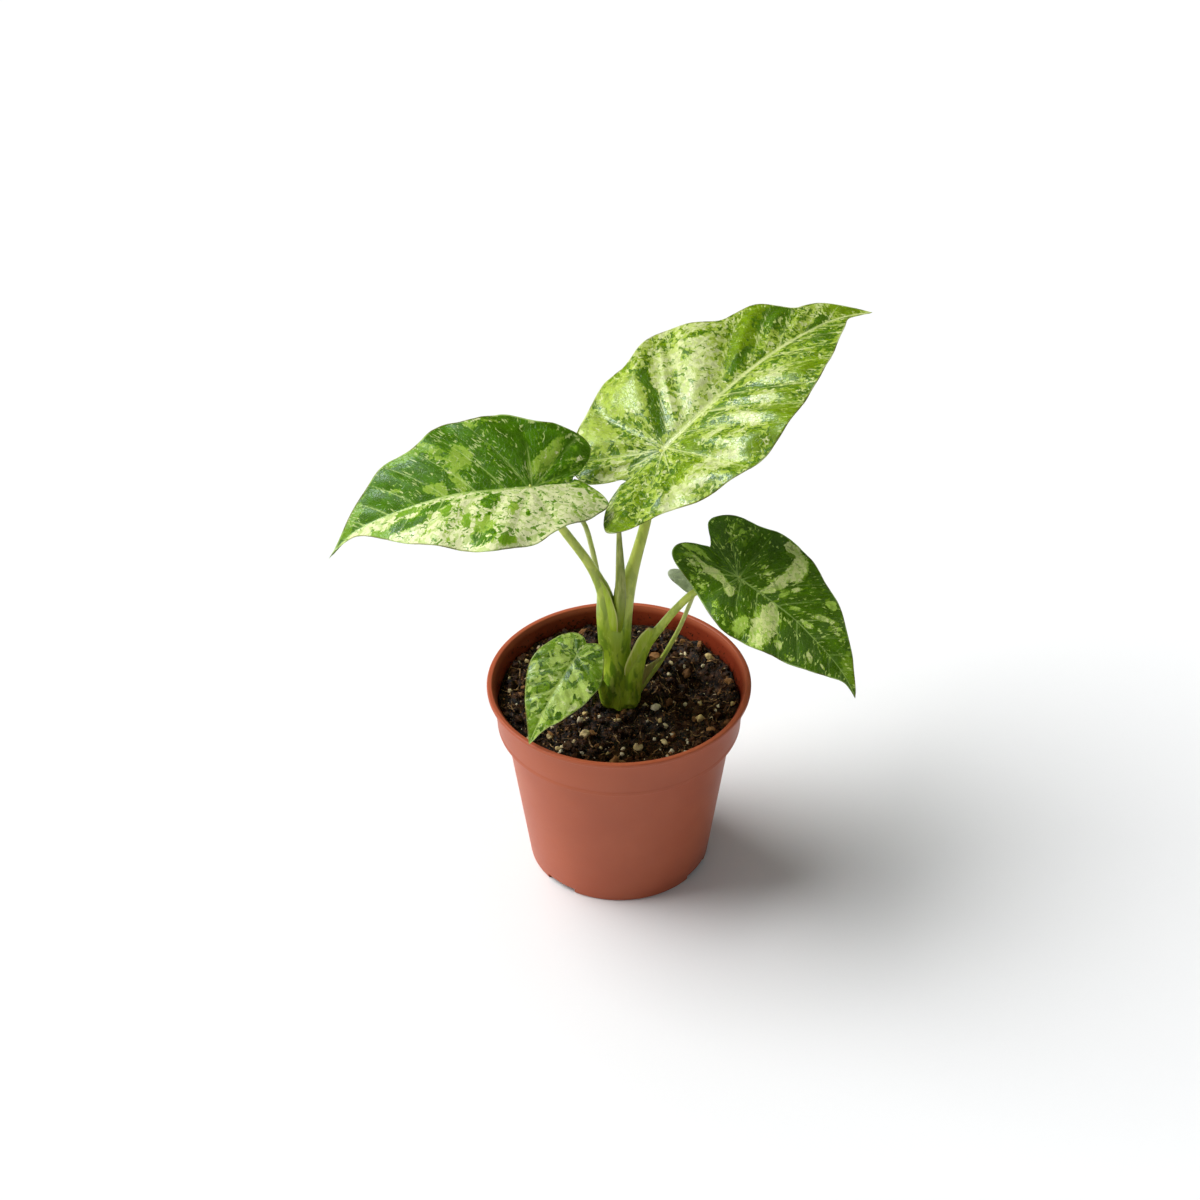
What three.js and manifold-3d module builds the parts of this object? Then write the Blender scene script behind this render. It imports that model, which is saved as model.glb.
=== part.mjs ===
// Potted variegated giant taro: a young plant with six leaves and one rolled
// new leaf, standing in a round plastic nursery pot filled with potting soil.
// Millimetres, +Z up. The origin is the centre of the pot's underside.
import * as THREE from "three";
import { mergeVertices } from "three/addons/utils/BufferGeometryUtils.js";
import Module from "manifold-3d";

const wasm = await Module();
wasm.setup();

// Driving dimensions of the pot
const POT_HEIGHT = 97;
const RIM_RADIUS = 60;
const LIP_WIDTH = 2.6;
const LIP_DEPTH = 2;
const COLLAR_TOP_RADIUS = 57.5;
const COLLAR_BOTTOM_RADIUS = 55.7;
const COLLAR_BOTTOM_Z = 76;
const BODY_TOP_RADIUS = 52.1;
const BASE_RADIUS = 42.1;
const FOOT_ROUNDING = 1;
const LIP_ROUNDING = 0.7;
const STEP_ROUNDING = 0.4;
const WALL = 1.5;
const POT_SIDES = 90;

// Drain notches, as angles round the pot's foot: two opposite pairs
const NOTCH_ANGLES = [-131, -31, 49, 149];
const NOTCH_SPAN = 22;
const NOTCH_HEIGHT = 2.6;
const NOTCH_INNER_RADIUS = 34;
const NOTCH_MARGIN = 4;

// Soil
const GAP = 0.35;
const SOIL_Z = 86;
const SOIL_SIDES = 50;
const SOIL_RING_STEP = 5.2;
const SOIL_EDGE = 1.2;
const LUMP_COUNT = 90;
const LUMP_HEIGHT = 1.5;
const HOLLOW = { x: 36, y: 12, radius: 12, depth: 4 };
const DIP_ROUND_STEM = 0.8;
const DIP_INNER_RADIUS = 11;
const DIP_OUTER_RADIUS = 20;
const GRAIN_COUNT = 44;
const GRAIN_FREE_RADIUS = 14;
const GRAIN_RADIUS = 0.9;
const GRAIN_RADIUS_SPREAD = 1.1;
// The largest grains at the front, as place x, y and radius
const LARGE_GRAINS = [
  [-15.5, -26.8, 2.5],
  [8.1, -35.5, 2.6],
  [16.7, -8, 2.1],
  [11.8, -5.6, 1.6],
  [-26.4, -35, 1.9],
  [-17.7, -17.6, 1.8],
  [19.8, -31.5, 1.7],
  [36.4, -15.5, 1.7],
  [42.2, 27.9, 1.8],
  [51.6, -8.2, 1.4],
];

// Stem
const STEM_HOLE = { x: 0.8, y: 0, radius: 9.9, bottom: 57 };
const CORM_RADIUS = 9.4;
const CORM_BOTTOM = 58;
const CORM_TOP = 88.5;
const THICK_STALK = 4;
const GUARD_HEIGHT = 4;
const CUT_BLOCK = 60;

// Leaf blades
const BLADE_THICKNESS = 0.8;
const MIDRIB_DEPTH = 1.5;
const MIDRIB_HALF_WIDTH = 0.022;
const VEIN_SWEEP = 0.65;
const CREASE_WIDTH = 0.03;
const VEINS_PER_SIDE = 6;
const VEINS_IN_LOBE = 2;
const QUILT_DEPTH = 0.011;
const WAVE_BREADTH = 0.4;
const LOBE_ROWS_SHARE = 0.36;
const NOTCH_ROWS = 3;
const COLUMN_CROWDING = 1.15;
const MARGIN_STEPS = 400;
const INNER_MARGIN = { across: 0.16, root: -0.3 };

// Colours
const TERRACOTTA = 0xa85a41;
const PEAT = 0x2b1d12;
const STALK_GREEN = 0x8ba03c;
const LEAF_GREEN = 0x3f7d1f;
const LEAF_CREAM = 0xc9d592;
const SPEAR_GREEN = 0x9db84a;

// One blade: the petiole meets it at `junction`; `heading`, `pitch` and `bank`
// turn it, in degrees; the other sizes are shares of `length`, which runs from
// the junction to the tip. `arch` and `lobe` bend it down ahead of and behind
// the junction, `fold` lifts both halves off the midrib, `droop` lowers their
// margins, and the wave has its height, count and a phase for each half.
// The two margins run from the tip round the lobes to the notch between them,
// as points along and across the blade.
const SMALL_LEFT_MARGIN = [
  [1, 0],
  [0.87, 0.075],
  [0.58, 0.26],
  [0.38, 0.345],
  [0.16, 0.4],
  [-0.06, 0.405],
  [-0.26, 0.345],
  [-0.4, 0.215],
  [-0.38, 0.09],
  [-0.14, 0],
];
const SMALL_RIGHT_MARGIN = SMALL_LEFT_MARGIN.map(([along, across]) => [along, -across]);

const LEAVES = {
  left: {
    color: LEAF_CREAM,
    junction: [-37.5, -7.9, 211.4],
    heading: 200.1,
    pitch: 9.8,
    bank: -18.5,
    length: 81.8,
    arch: 0.483,
    lobe: 0.17,
    fold: 0.253,
    droop: 0.229,
    wave: { height: 0.02, count: 3, left: 0.1, right: 0.45 },
    stations: 24,
    columns: 5,
    leftMargin: [
      [1.002, 0.045],
      [0.938, 0.019],
      [0.889, 0.006],
      [0.836, 0.038],
      [0.651, 0.24],
      [0.349, 0.464],
      [0.232, 0.454],
      [0.059, 0.444],
      [-0.032, 0.389],
      [-0.384, 0.201],
      [-0.31, 0.035],
      [-0.233, -0.006],
    ],
    rightMargin: [
      [1.002, 0.045],
      [0.826, -0.193],
      [0.658, -0.316],
      [0.526, -0.337],
      [0.349, -0.427],
      [0.251, -0.411],
      [0.034, -0.429],
      [-0.144, -0.335],
      [-0.355, -0.29],
      [-0.397, -0.19],
      [-0.31, -0.06],
      [-0.233, -0.006],
    ],
  },
  top: {
    color: LEAF_CREAM,
    junction: [19.4, 24.2, 207.3],
    heading: 41.6,
    pitch: 30.1,
    bank: -1.8,
    length: 120.5,
    arch: 0.386,
    lobe: -0.53,
    fold: 0.237,
    droop: 0.287,
    wave: { height: 0.018, count: 3.2, left: 0.3, right: 0 },
    stations: 26,
    columns: 5,
    leftMargin: [
      [0.988, -0.03],
      [0.892, 0.12],
      [0.8, 0.147],
      [0.715, 0.249],
      [0.568, 0.267],
      [0.356, 0.411],
      [0.245, 0.371],
      [0.178, 0.364],
      [0.055, 0.388],
      [-0.201, 0.27],
      [-0.26, 0.215],
      [-0.28, 0.101],
      [-0.182, 0.02],
    ],
    rightMargin: [
      [0.988, -0.03],
      [0.888, -0.026],
      [0.735, -0.159],
      [0.447, -0.331],
      [0.245, -0.398],
      [-0.003, -0.383],
      [-0.254, -0.238],
      [-0.38, -0.225],
      [-0.41, -0.18],
      [-0.372, -0.097],
      [-0.3, -0.03],
      [-0.182, 0.02],
    ],
  },
  right: {
    color: LEAF_GREEN,
    junction: [53.8, -11.9, 164.6],
    heading: -37.3,
    pitch: -20.8,
    bank: 9.2,
    length: 70.5,
    arch: 0.261,
    lobe: 0.04,
    fold: 0.174,
    droop: 0.257,
    wave: { height: 0.02, count: 3, left: 0.2, right: 0.6 },
    stations: 22,
    columns: 5,
    leftMargin: [
      [0.995, -0.017],
      [0.96, 0.03],
      [0.574, 0.294],
      [0.078, 0.422],
      [-0.029, 0.39],
      [-0.279, 0.326],
      [-0.34, 0.278],
      [-0.396, 0.176],
      [-0.358, 0.098],
      [-0.269, 0.011],
    ],
    rightMargin: [
      [0.995, -0.017],
      [0.856, -0.036],
      [0.718, -0.176],
      [0.47, -0.342],
      [0.365, -0.381],
      [0.156, -0.447],
      [0.044, -0.4],
      [-0.247, -0.314],
      [-0.401, -0.233],
      [-0.425, -0.15],
      [-0.36, -0.05],
      [-0.269, 0.011],
    ],
  },
  front: {
    color: LEAF_GREEN,
    junction: [-18.8, -19, 125.7],
    heading: 236.3,
    pitch: -16.8,
    bank: -5.2,
    length: 42,
    arch: 0.342,
    lobe: 0.208,
    fold: 0.111,
    droop: 0.223,
    wave: { height: 0.018, count: 2.6, left: 0.1, right: 0.5 },
    stations: 15,
    columns: 4,
    leftMargin: [
      [1, 0],
      [0.772, 0.148],
      [0.665, 0.247],
      [0.211, 0.414],
      [-0.157, 0.256],
      [-0.243, 0.151],
      [-0.193, 0],
    ],
    rightMargin: [
      [1, 0],
      [0.633, -0.27],
      [0.501, -0.327],
      [0.358, -0.399],
      [0.086, -0.39],
      [-0.163, -0.298],
      [-0.231, -0.228],
      [-0.258, -0.133],
      [-0.193, 0],
    ],
  },
  back: {
    color: LEAF_GREEN,
    junction: [37.1, 16, 144],
    heading: -30,
    pitch: -8,
    bank: 4,
    length: 33,
    arch: 0.34,
    lobe: 0.2,
    fold: 0.14,
    droop: 0.22,
    wave: { height: 0.018, count: 2.6, left: 0.2, right: 0.4 },
    stations: 15,
    columns: 4,
    leftMargin: SMALL_LEFT_MARGIN,
    rightMargin: SMALL_RIGHT_MARGIN,
  },
  rear: {
    color: LEAF_GREEN,
    junction: [-23.4, 24, 176.9],
    heading: 170,
    pitch: -10,
    bank: 0,
    length: 36,
    arch: 0.34,
    lobe: 0.2,
    fold: 0.14,
    droop: 0.22,
    wave: { height: 0.018, count: 2.6, left: 0.6, right: 0.1 },
    stations: 15,
    columns: 4,
    leftMargin: SMALL_LEFT_MARGIN,
    rightMargin: SMALL_RIGHT_MARGIN,
  },
};

// Stalks: each route point is x, y, z and the stalk's radius there. The first
// points lie in the bundle of clasping sheaths that makes the stem.
const PETIOLES = {
  left: [
    [-1.5, 1.5, 84, 5.6],
    [-2.2, 1.2, 110, 5],
    [-4.6, 0.6, 133, 4.7],
    [-7, 0, 147.7, 3.5],
    [-13.2, -1, 163.2, 2.5],
    [-24.5, -3.5, 183.7, 2.1],
    [-32.6, -6, 200, 1.9],
    [-37.5, -7.9, 211.8, 1.8],
  ],
  top: [
    [1.4, 0.6, 84, 6],
    [0.2, 0.6, 110, 5.3],
    [1.2, 1, 131, 4.8],
    [3.6, 2.5, 146, 4.2],
    [7.3, 5, 160.3, 3],
    [11.7, 10, 175.7, 2.6],
    [16.2, 18, 193.8, 2.4],
    [19.4, 24.2, 207.7, 2.2],
  ],
  right: [
    [4.4, -2.4, 84, 4.4],
    [5, -3, 98, 3.8],
    [7.2, -3.2, 110, 3.4],
    [12, -3.8, 120, 2.7],
    [18, -4.8, 130, 2.2],
    [25.2, -6, 141.5, 1.9],
    [33, -7.5, 151.5, 1.8],
    [43, -9.8, 159.5, 1.7],
    [53.8, -11.9, 165, 1.6],
  ],
  front: [
    [-4.5, -2.9, 84, 3],
    [-6, -5.2, 93, 2.8],
    [-8.9, -9, 104.5, 1.6],
    [-13, -14, 116.5, 1.3],
    [-18.8, -19, 126, 1.2],
  ],
  back: [
    [6, 3, 84, 2.4],
    [9.8, 4.4, 90, 1.9],
    [13.8, 5.4, 95, 1.3],
    [18.8, 7, 102, 1],
    [27, 10, 117.7, 0.95],
    [33.4, 14, 133.4, 0.9],
    [37.1, 16, 144.3, 0.9],
  ],
  rear: [
    [-1.5, 4.4, 84, 3.4],
    [-4, 6, 110, 2.6],
    [-7.4, 7.5, 136.7, 1.5],
    [-9.2, 9, 149.4, 1.2],
    [-11.6, 12, 161.5, 1.1],
    [-14.6, 16.6, 170.9, 1.05],
    [-18.8, 20.5, 175.2, 1],
    [-23.4, 24, 177.2, 1],
  ],
};

// Sheath wings: shorter, wider stalks whose upper ends are cut slanting. The
// cut passes through height `top` on the last but one route point, and `high`
// is the side that it leaves highest, as an angle in plan, in degrees.
const SHEATHS = {
  left: {
    route: [
      [-3.4, 0.8, 112, 5.6],
      [-5, 0.4, 133, 5],
      [-6.6, 0, 147, 3.6],
      [-9, -0.4, 157, 2.9],
    ],
    top: 147.8,
    high: 200,
    slant: 62,
  },
  right: {
    route: [
      [5.2, -3, 88, 4.7],
      [7.4, -3.3, 108, 4.3],
      [11.6, -3.9, 120, 3.1],
      [14.5, -4.4, 127, 2.4],
    ],
    top: 118.5,
    high: 20,
    slant: 58,
  },
};

// The rolled new leaf, which stands in the fold of the top leaf's sheath
const SPEAR_ROUTE = [
  [0.4, -3.4, 140, 1.9],
  [0.4, -3.2, 150, 2.2],
  [0.5, -1.8, 161.2, 2],
  [0.2, 0, 176.4, 1.5],
  [0, 1.2, 188, 0.8],
  [-0.1, 1.8, 194, 0.4],
];

const radians = THREE.MathUtils.degToRad;

// A small repeatable random source, from 0 to 1
function randomSource(seed) {
  let state = seed;
  return () => {
    state = (state * 1664525 + 1013904223) % 4294967296;
    return state / 4294967296;
  };
}

// The geometry with only merged positions and no collapsed triangles
function cleaned(geometry) {
  const bare = geometry.clone();
  bare.deleteAttribute("normal");
  bare.deleteAttribute("uv");
  const merged = mergeVertices(bare, 1e-3);
  const corners = merged.index.array;
  const kept = [];
  for (let i = 0; i < corners.length; i += 3) {
    const [a, b, c] = corners.slice(i, i + 3);
    if (a !== b && b !== c && c !== a) kept.push(a, b, c);
  }
  merged.setIndex(kept);
  return merged;
}

// A closed geometry as a solid for joins and cuts
function solidOf(geometry) {
  const bare = cleaned(geometry);
  return new wasm.Manifold(
    new wasm.Mesh({
      numProp: 3,
      vertProperties: new Float32Array(bare.attributes.position.array),
      triVerts: new Uint32Array(bare.index.array),
    })
  );
}

// A solid's largest body, back as a geometry
function geometryOf(solid) {
  const bodies = solid.decompose().sort((a, b) => b.volume() - a.volume());
  const mesh = bodies[0].getMesh();
  const geometry = new THREE.BufferGeometry();
  geometry.setAttribute("position", new THREE.BufferAttribute(new Float32Array(mesh.vertProperties), 3));
  geometry.setIndex(new THREE.BufferAttribute(new Uint32Array(mesh.triVerts), 1));
  return geometry;
}

function finished(geometry) {
  const bare = cleaned(geometry);
  bare.computeVertexNormals();
  return bare;
}

// A profile of [radius, height] points, from axis to axis, turned round Z
function turned(profile, sides) {
  const points = profile.map(([radius, height]) => new THREE.Vector2(radius, height));
  return new THREE.LatheGeometry(points, sides).rotateX(Math.PI / 2);
}

// A capped cylinder bent along a smooth route of [x, y, z, radius] points
function stalk(route, sides, rings) {
  const path = new THREE.CatmullRomCurve3(route.map(([x, y, z]) => new THREE.Vector3(x, y, z)));
  const radii = new THREE.CatmullRomCurve3(route.map((point) => new THREE.Vector3(point[3], 0, 0)));
  const geometry = new THREE.CylinderGeometry(1, 1, 1, sides, rings);
  const places = geometry.attributes.position;
  const side = new THREE.Vector3();
  const front = new THREE.Vector3();
  for (let i = 0; i < places.count; i++) {
    const along = THREE.MathUtils.clamp(places.getY(i) + 0.5, 0, 1);
    const heading = path.getTangent(along);
    const radius = radii.getPoint(along).x;
    side.set(0, 1, 0).cross(heading).normalize();
    front.crossVectors(heading, side);
    const place = path.getPoint(along);
    place.addScaledVector(side, -places.getX(i) * radius);
    place.addScaledVector(front, places.getZ(i) * radius);
    places.setXYZ(i, place.x, place.y, place.z);
  }
  return geometry;
}

// The blade's own axes: along the midrib, towards its left half, and up
function bladeAxes(leaf) {
  const heading = radians(leaf.heading);
  const pitch = radians(leaf.pitch);
  const bank = radians(leaf.bank);
  const along = new THREE.Vector3(
    Math.cos(heading) * Math.cos(pitch),
    Math.sin(heading) * Math.cos(pitch),
    Math.sin(pitch)
  );
  const level = new THREE.Vector3(-Math.sin(heading), Math.cos(heading), 0);
  const across = level.clone().applyAxisAngle(along, bank);
  return { along, across, up: new THREE.Vector3().crossVectors(along, across) };
}

// Height of the blade over its own plane, all in shares of its length
function bladeHeight(leaf, along, across) {
  const tip = leaf.leftMargin[0];
  const offset = across - tip[1] * (Math.max(along, 0) / tip[0]) ** 3;
  const breadth = Math.abs(offset);
  const bend = along > 0 ? leaf.arch : leaf.lobe;
  const phase = offset > 0 ? leaf.wave.left : leaf.wave.right;
  const wave = Math.sin(2 * Math.PI * (leaf.wave.count * (along - VEIN_SWEEP * breadth) + phase));
  return (
    -bend * along * along +
    leaf.fold * (Math.hypot(breadth, CREASE_WIDTH) - CREASE_WIDTH) -
    leaf.droop * breadth * breadth +
    leaf.wave.height * (breadth / WAVE_BREADTH) ** 2 * wave
  );
}

// Points along one margin, evenly matched to stations on the midrib: first one
// for each vein root from the tip to the junction, then round the lobe, where
// the veins fan out from the junction, and last along the notch between lobes
function marginStations(leaf, margin, counts) {
  const curve = new THREE.CatmullRomCurve3(
    margin.map(([along, across]) => new THREE.Vector3(along, across, 0)),
    false,
    "catmullrom",
    0.5
  );
  const fine = curve.getPoints(MARGIN_STEPS);
  const root = (point) => point.x - VEIN_SWEEP * Math.abs(point.y);
  const stations = [];
  let last = 0;
  const tip = fine[0].x;
  for (let i = 0; i <= counts.ahead; i++) {
    const wanted = root(fine[0]) * (1 - i / counts.ahead);
    while (last < fine.length - 2 && root(fine[last + 1]) > wanted) last++;
    const before = root(fine[last]);
    const after = root(fine[last + 1]);
    const share = i === 0 ? 0 : THREE.MathUtils.clamp((before - wanted) / (before - after), 0, 1);
    const point = fine[last].clone().lerp(fine[last + 1], share);
    stations.push({ point, midrib: tip * (1 - i / counts.ahead) });
  }
  const rest = fine.slice(last + 1);
  const inner = rest.findIndex(
    (point) => point.x < 0 && Math.abs(point.y) < INNER_MARGIN.across && root(point) < INNER_MARGIN.root
  );
  const lobe = rest.slice(0, inner);
  const notch = rest.slice(inner);
  for (let i = 1; i <= counts.lobe; i++) {
    stations.push({ point: lobe[Math.round(((lobe.length - 1) * i) / counts.lobe)], midrib: 0 });
  }
  const end = fine[fine.length - 1].x;
  for (let i = 1; i <= counts.notch; i++) {
    const share = i / counts.notch;
    stations.push({ point: notch[Math.round((notch.length - 1) * share)], midrib: end * share });
  }
  return stations;
}

// A leaf blade as a closed sheet: both faces are the same grid, split into the
// same triangles, and `above` and `below` are the distances to its two faces.
// Both halves share the corners along the midrib, and every row of the lobes
// starts from the junction.
function bladeGeometry(leaf, above, below) {
  const lobeRows = Math.round(leaf.stations * LOBE_ROWS_SHARE);
  const counts = { ahead: leaf.stations, lobe: lobeRows, notch: NOTCH_ROWS };
  const lastRow = counts.ahead + counts.lobe + counts.notch;
  const corners = [];
  const known = new Map();
  const sides = [leaf.leftMargin, leaf.rightMargin].map((margin) => marginStations(leaf, margin, counts));
  const ribRow = (row) => (row > counts.ahead && row <= counts.ahead + counts.lobe ? counts.ahead : row);
  const corner = (side, row, column) => {
    const shared = column === 0 || row === 0 || row === lastRow;
    const key = shared ? `rib ${ribRow(row)}` : `${side} ${row} ${column}`;
    if (!known.has(key)) {
      known.set(key, corners.length);
      corners.push(bladeCorner(leaf, counts, sides[side][row], row, shared ? 0 : column));
    }
    return known.get(key);
  };
  const faces = [];
  const walls = [];
  for (const side of [0, 1]) {
    const facing = (list) => (side === 0 ? list.reverse() : list);
    for (let row = 0; row < lastRow; row++) {
      for (let column = 0; column < leaf.columns; column++) {
        const [a, b] = [corner(side, row, column), corner(side, row, column + 1)];
        const [c, d] = [corner(side, row + 1, column), corner(side, row + 1, column + 1)];
        faces.push(facing([a, c, b]), facing([b, c, d]));
      }
      walls.push(facing([corner(side, row, leaf.columns), corner(side, row + 1, leaf.columns)]));
    }
  }
  const sheet = faces.filter(([a, b, c]) => a !== b && b !== c && c !== a);
  const normals = corners.map(() => new THREE.Vector3());
  for (const face of sheet) {
    const [a, b, c] = face.map((index) => corners[index].place);
    const normal = b.clone().sub(a).cross(c.clone().sub(a));
    for (const index of face) normals[index].add(normal);
  }
  const upper = [];
  const lower = [];
  corners.forEach(({ place, rib }, index) => {
    const normal = normals[index].normalize();
    upper.push(...place.clone().addScaledVector(normal, above));
    lower.push(...place.clone().addScaledVector(normal, -below - MIDRIB_DEPTH * rib));
  });
  const count = corners.length;
  const closed = [];
  for (const [a, b, c] of sheet) closed.push(a, b, c, a + count, c + count, b + count);
  for (const [a, b] of walls) closed.push(a, b, a + count, b, b + count, a + count);
  const blade = new THREE.BufferGeometry();
  blade.setAttribute("position", new THREE.Float32BufferAttribute([...upper, ...lower], 3));
  blade.setIndex(closed);
  return blade;
}

// One corner of the blade's grid: its place, and how deep the midrib is there
function bladeCorner(leaf, counts, { point, midrib }, row, column) {
  const { along, across, up } = bladeAxes(leaf);
  const tip = leaf.leftMargin[0];
  const end = leaf.leftMargin[leaf.leftMargin.length - 1];
  const onRib = midrib > 0 ? tip[1] * (midrib / tip[0]) ** 3 : (end[1] * midrib) / end[0];
  const share = (column / leaf.columns) ** COLUMN_CROWDING;
  const x = THREE.MathUtils.lerp(midrib, point.x, share);
  const y = THREE.MathUtils.lerp(onRib, point.y, share);
  const veinsAhead = Math.min(row / counts.ahead, 1) * VEINS_PER_SIDE;
  const veinsBehind = (Math.max(row - counts.ahead, 0) * VEINS_IN_LOBE) / counts.lobe;
  const bulge = Math.sin(Math.PI * (veinsAhead + veinsBehind)) ** 2 * 4 * share * (1 - share);
  const height = bladeHeight(leaf, x, y) + QUILT_DEPTH * bulge;
  const place = new THREE.Vector3(...leaf.junction);
  place.addScaledVector(along, x * leaf.length);
  place.addScaledVector(across, y * leaf.length);
  place.addScaledVector(up, height * leaf.length);
  const offRib = Math.hypot(x - midrib, y - onRib) / MIDRIB_HALF_WIDTH;
  return { place, rib: Math.exp(-offRib * offRib) * THREE.MathUtils.clamp(1 - midrib, 0.1, 1) };
}

// The pot: outer wall from the axis up to the lip, then the inner wall down
function potGeometry() {
  const top = POT_HEIGHT;
  const lipBottom = POT_HEIGHT - LIP_DEPTH;
  const lipInner = RIM_RADIUS - LIP_WIDTH;
  const profile = [
    [0, 0],
    [BASE_RADIUS - FOOT_ROUNDING, 0],
    [BASE_RADIUS, FOOT_ROUNDING],
    [BODY_TOP_RADIUS, COLLAR_BOTTOM_Z - 2 * STEP_ROUNDING],
    [COLLAR_BOTTOM_RADIUS - 1.5 * STEP_ROUNDING, COLLAR_BOTTOM_Z - STEP_ROUNDING],
    [COLLAR_BOTTOM_RADIUS, COLLAR_BOTTOM_Z + STEP_ROUNDING],
    [COLLAR_TOP_RADIUS, lipBottom - STEP_ROUNDING],
    [RIM_RADIUS - LIP_ROUNDING, lipBottom],
    [RIM_RADIUS, lipBottom + LIP_ROUNDING],
    [RIM_RADIUS, top - LIP_ROUNDING],
    [RIM_RADIUS - LIP_ROUNDING, top],
    [lipInner + LIP_ROUNDING, top],
    [lipInner, top - LIP_ROUNDING],
    ...innerWall(),
    [0, WALL],
  ];
  let pot = solidOf(turned(profile, POT_SIDES));
  for (const angle of NOTCH_ANGLES) pot = pot.subtract(solidOf(notchGeometry(angle)));
  return geometryOf(pot);
}

// The inner wall from under the lip down to the floor's edge
function innerWall() {
  return [
    [COLLAR_TOP_RADIUS - WALL, POT_HEIGHT - LIP_DEPTH - STEP_ROUNDING],
    [COLLAR_BOTTOM_RADIUS - WALL, COLLAR_BOTTOM_Z + WALL],
    [BODY_TOP_RADIUS - WALL, COLLAR_BOTTOM_Z + WALL - 2 * STEP_ROUNDING],
    [BASE_RADIUS - WALL, WALL + FOOT_ROUNDING],
    [BASE_RADIUS - WALL - FOOT_ROUNDING, WALL],
  ];
}

// A drain notch: a curved block that cuts through the foot's edge
function notchGeometry(angle) {
  const outer = BASE_RADIUS + NOTCH_MARGIN;
  const start = radians(angle - NOTCH_SPAN / 2);
  const stop = radians(angle + NOTCH_SPAN / 2);
  const shape = new THREE.Shape();
  shape.absarc(0, 0, outer, start, stop, false);
  shape.absarc(0, 0, NOTCH_INNER_RADIUS, stop, start, true);
  const block = new THREE.ExtrudeGeometry(shape, {
    depth: NOTCH_HEIGHT + NOTCH_MARGIN,
    bevelEnabled: false,
    curveSegments: 6,
  });
  return block.translate(0, 0, -NOTCH_MARGIN);
}

// Lumps and the hollow that shape the soil's surface
function soilRelief(x, y, lumps) {
  let height = 0;
  for (const lump of lumps) {
    const distance = Math.hypot(x - lump.x, y - lump.y) / lump.radius;
    height += lump.height * Math.exp(-distance * distance);
  }
  const hollow = Math.hypot(x - HOLLOW.x, y - HOLLOW.y) / HOLLOW.radius;
  height -= HOLLOW.depth * Math.exp(-(hollow ** 4));
  const distance = Math.hypot(x - STEM_HOLE.x, y - STEM_HOLE.y);
  const clear = THREE.MathUtils.smoothstep(distance, DIP_INNER_RADIUS, DIP_OUTER_RADIUS);
  return height * clear - DIP_ROUND_STEM * (1 - clear);
}

// The soil: it fills the pot with a small gap, and its top carries lumps,
// crumbs and perlite grains sunk into it; the stem stands in a plain hole
function soilGeometry() {
  const random = randomSource(7);
  const spot = (reach) => {
    const angle = random() * 2 * Math.PI;
    const distance = reach * Math.sqrt(random());
    return [distance * Math.cos(angle), distance * Math.sin(angle)];
  };
  const wall = innerWall().reverse();
  const inside = wall.slice(0, 4).map(([radius, z]) => [radius - GAP, z + GAP]);
  const topRadius = COLLAR_TOP_RADIUS - WALL - GAP - SOIL_EDGE;
  const lumps = [];
  for (let i = 0; i < LUMP_COUNT; i++) {
    const [x, y] = spot(topRadius);
    lumps.push({ x, y, radius: 3 + 4 * random(), height: LUMP_HEIGHT * (random() - 0.45) });
  }
  const profile = [[0, WALL + GAP], ...inside, [topRadius, SOIL_Z - SOIL_EDGE]];
  for (let radius = topRadius - SOIL_EDGE; radius > 1; radius -= SOIL_RING_STEP) {
    profile.push([radius, SOIL_Z]);
  }
  profile.push([0, SOIL_Z]);
  const body = turned(profile, SOIL_SIDES);
  const places = body.attributes.position;
  for (let i = 0; i < places.count; i++) {
    const [x, y, z] = [places.getX(i), places.getY(i), places.getZ(i)];
    if (z > SOIL_Z - 0.1) places.setZ(i, z + soilRelief(x, y, lumps));
  }
  const grains = LARGE_GRAINS.map(([x, y, radius]) => ({ x, y, radius, detail: radius > 2 ? 1 : 0 }));
  for (let i = 0; i < GRAIN_COUNT; i++) {
    const [x, y] = spot(topRadius - 4);
    const radius = GRAIN_RADIUS + GRAIN_RADIUS_SPREAD * random() * random();
    if (Math.hypot(x, y) > GRAIN_FREE_RADIUS) grains.push({ x, y, radius, detail: 0 });
  }
  let soil = solidOf(body);
  for (const grain of grains) {
    const stone = new THREE.IcosahedronGeometry(grain.radius, grain.detail);
    stone.scale(1, 0.7 + 0.4 * random(), 0.75);
    stone.rotateZ(random() * Math.PI);
    stone.translate(grain.x, grain.y, SOIL_Z + soilRelief(grain.x, grain.y, lumps) + grain.radius * 0.25);
    soil = soil.add(solidOf(stone));
  }
  const depth = POT_HEIGHT - STEM_HOLE.bottom;
  const hole = new THREE.CylinderGeometry(STEM_HOLE.radius, STEM_HOLE.radius, depth, 24);
  hole.rotateX(Math.PI / 2);
  hole.translate(STEM_HOLE.x, STEM_HOLE.y, STEM_HOLE.bottom + depth / 2);
  return geometryOf(soil.subtract(solidOf(hole)));
}

// The buried corm with a rounded foot and shoulder
function cormGeometry() {
  const corm = turned(
    [
      [0, CORM_BOTTOM],
      [CORM_RADIUS * 0.55, CORM_BOTTOM + 0.6],
      [CORM_RADIUS * 0.9, CORM_BOTTOM + 5],
      [CORM_RADIUS, CORM_BOTTOM + 12],
      [CORM_RADIUS, CORM_TOP - 5],
      [CORM_RADIUS * 0.9, CORM_TOP - 1.5],
      [CORM_RADIUS * 0.6, CORM_TOP],
      [0, CORM_TOP],
    ],
    20
  );
  return corm.translate(STEM_HOLE.x, STEM_HOLE.y, 0);
}

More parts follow.
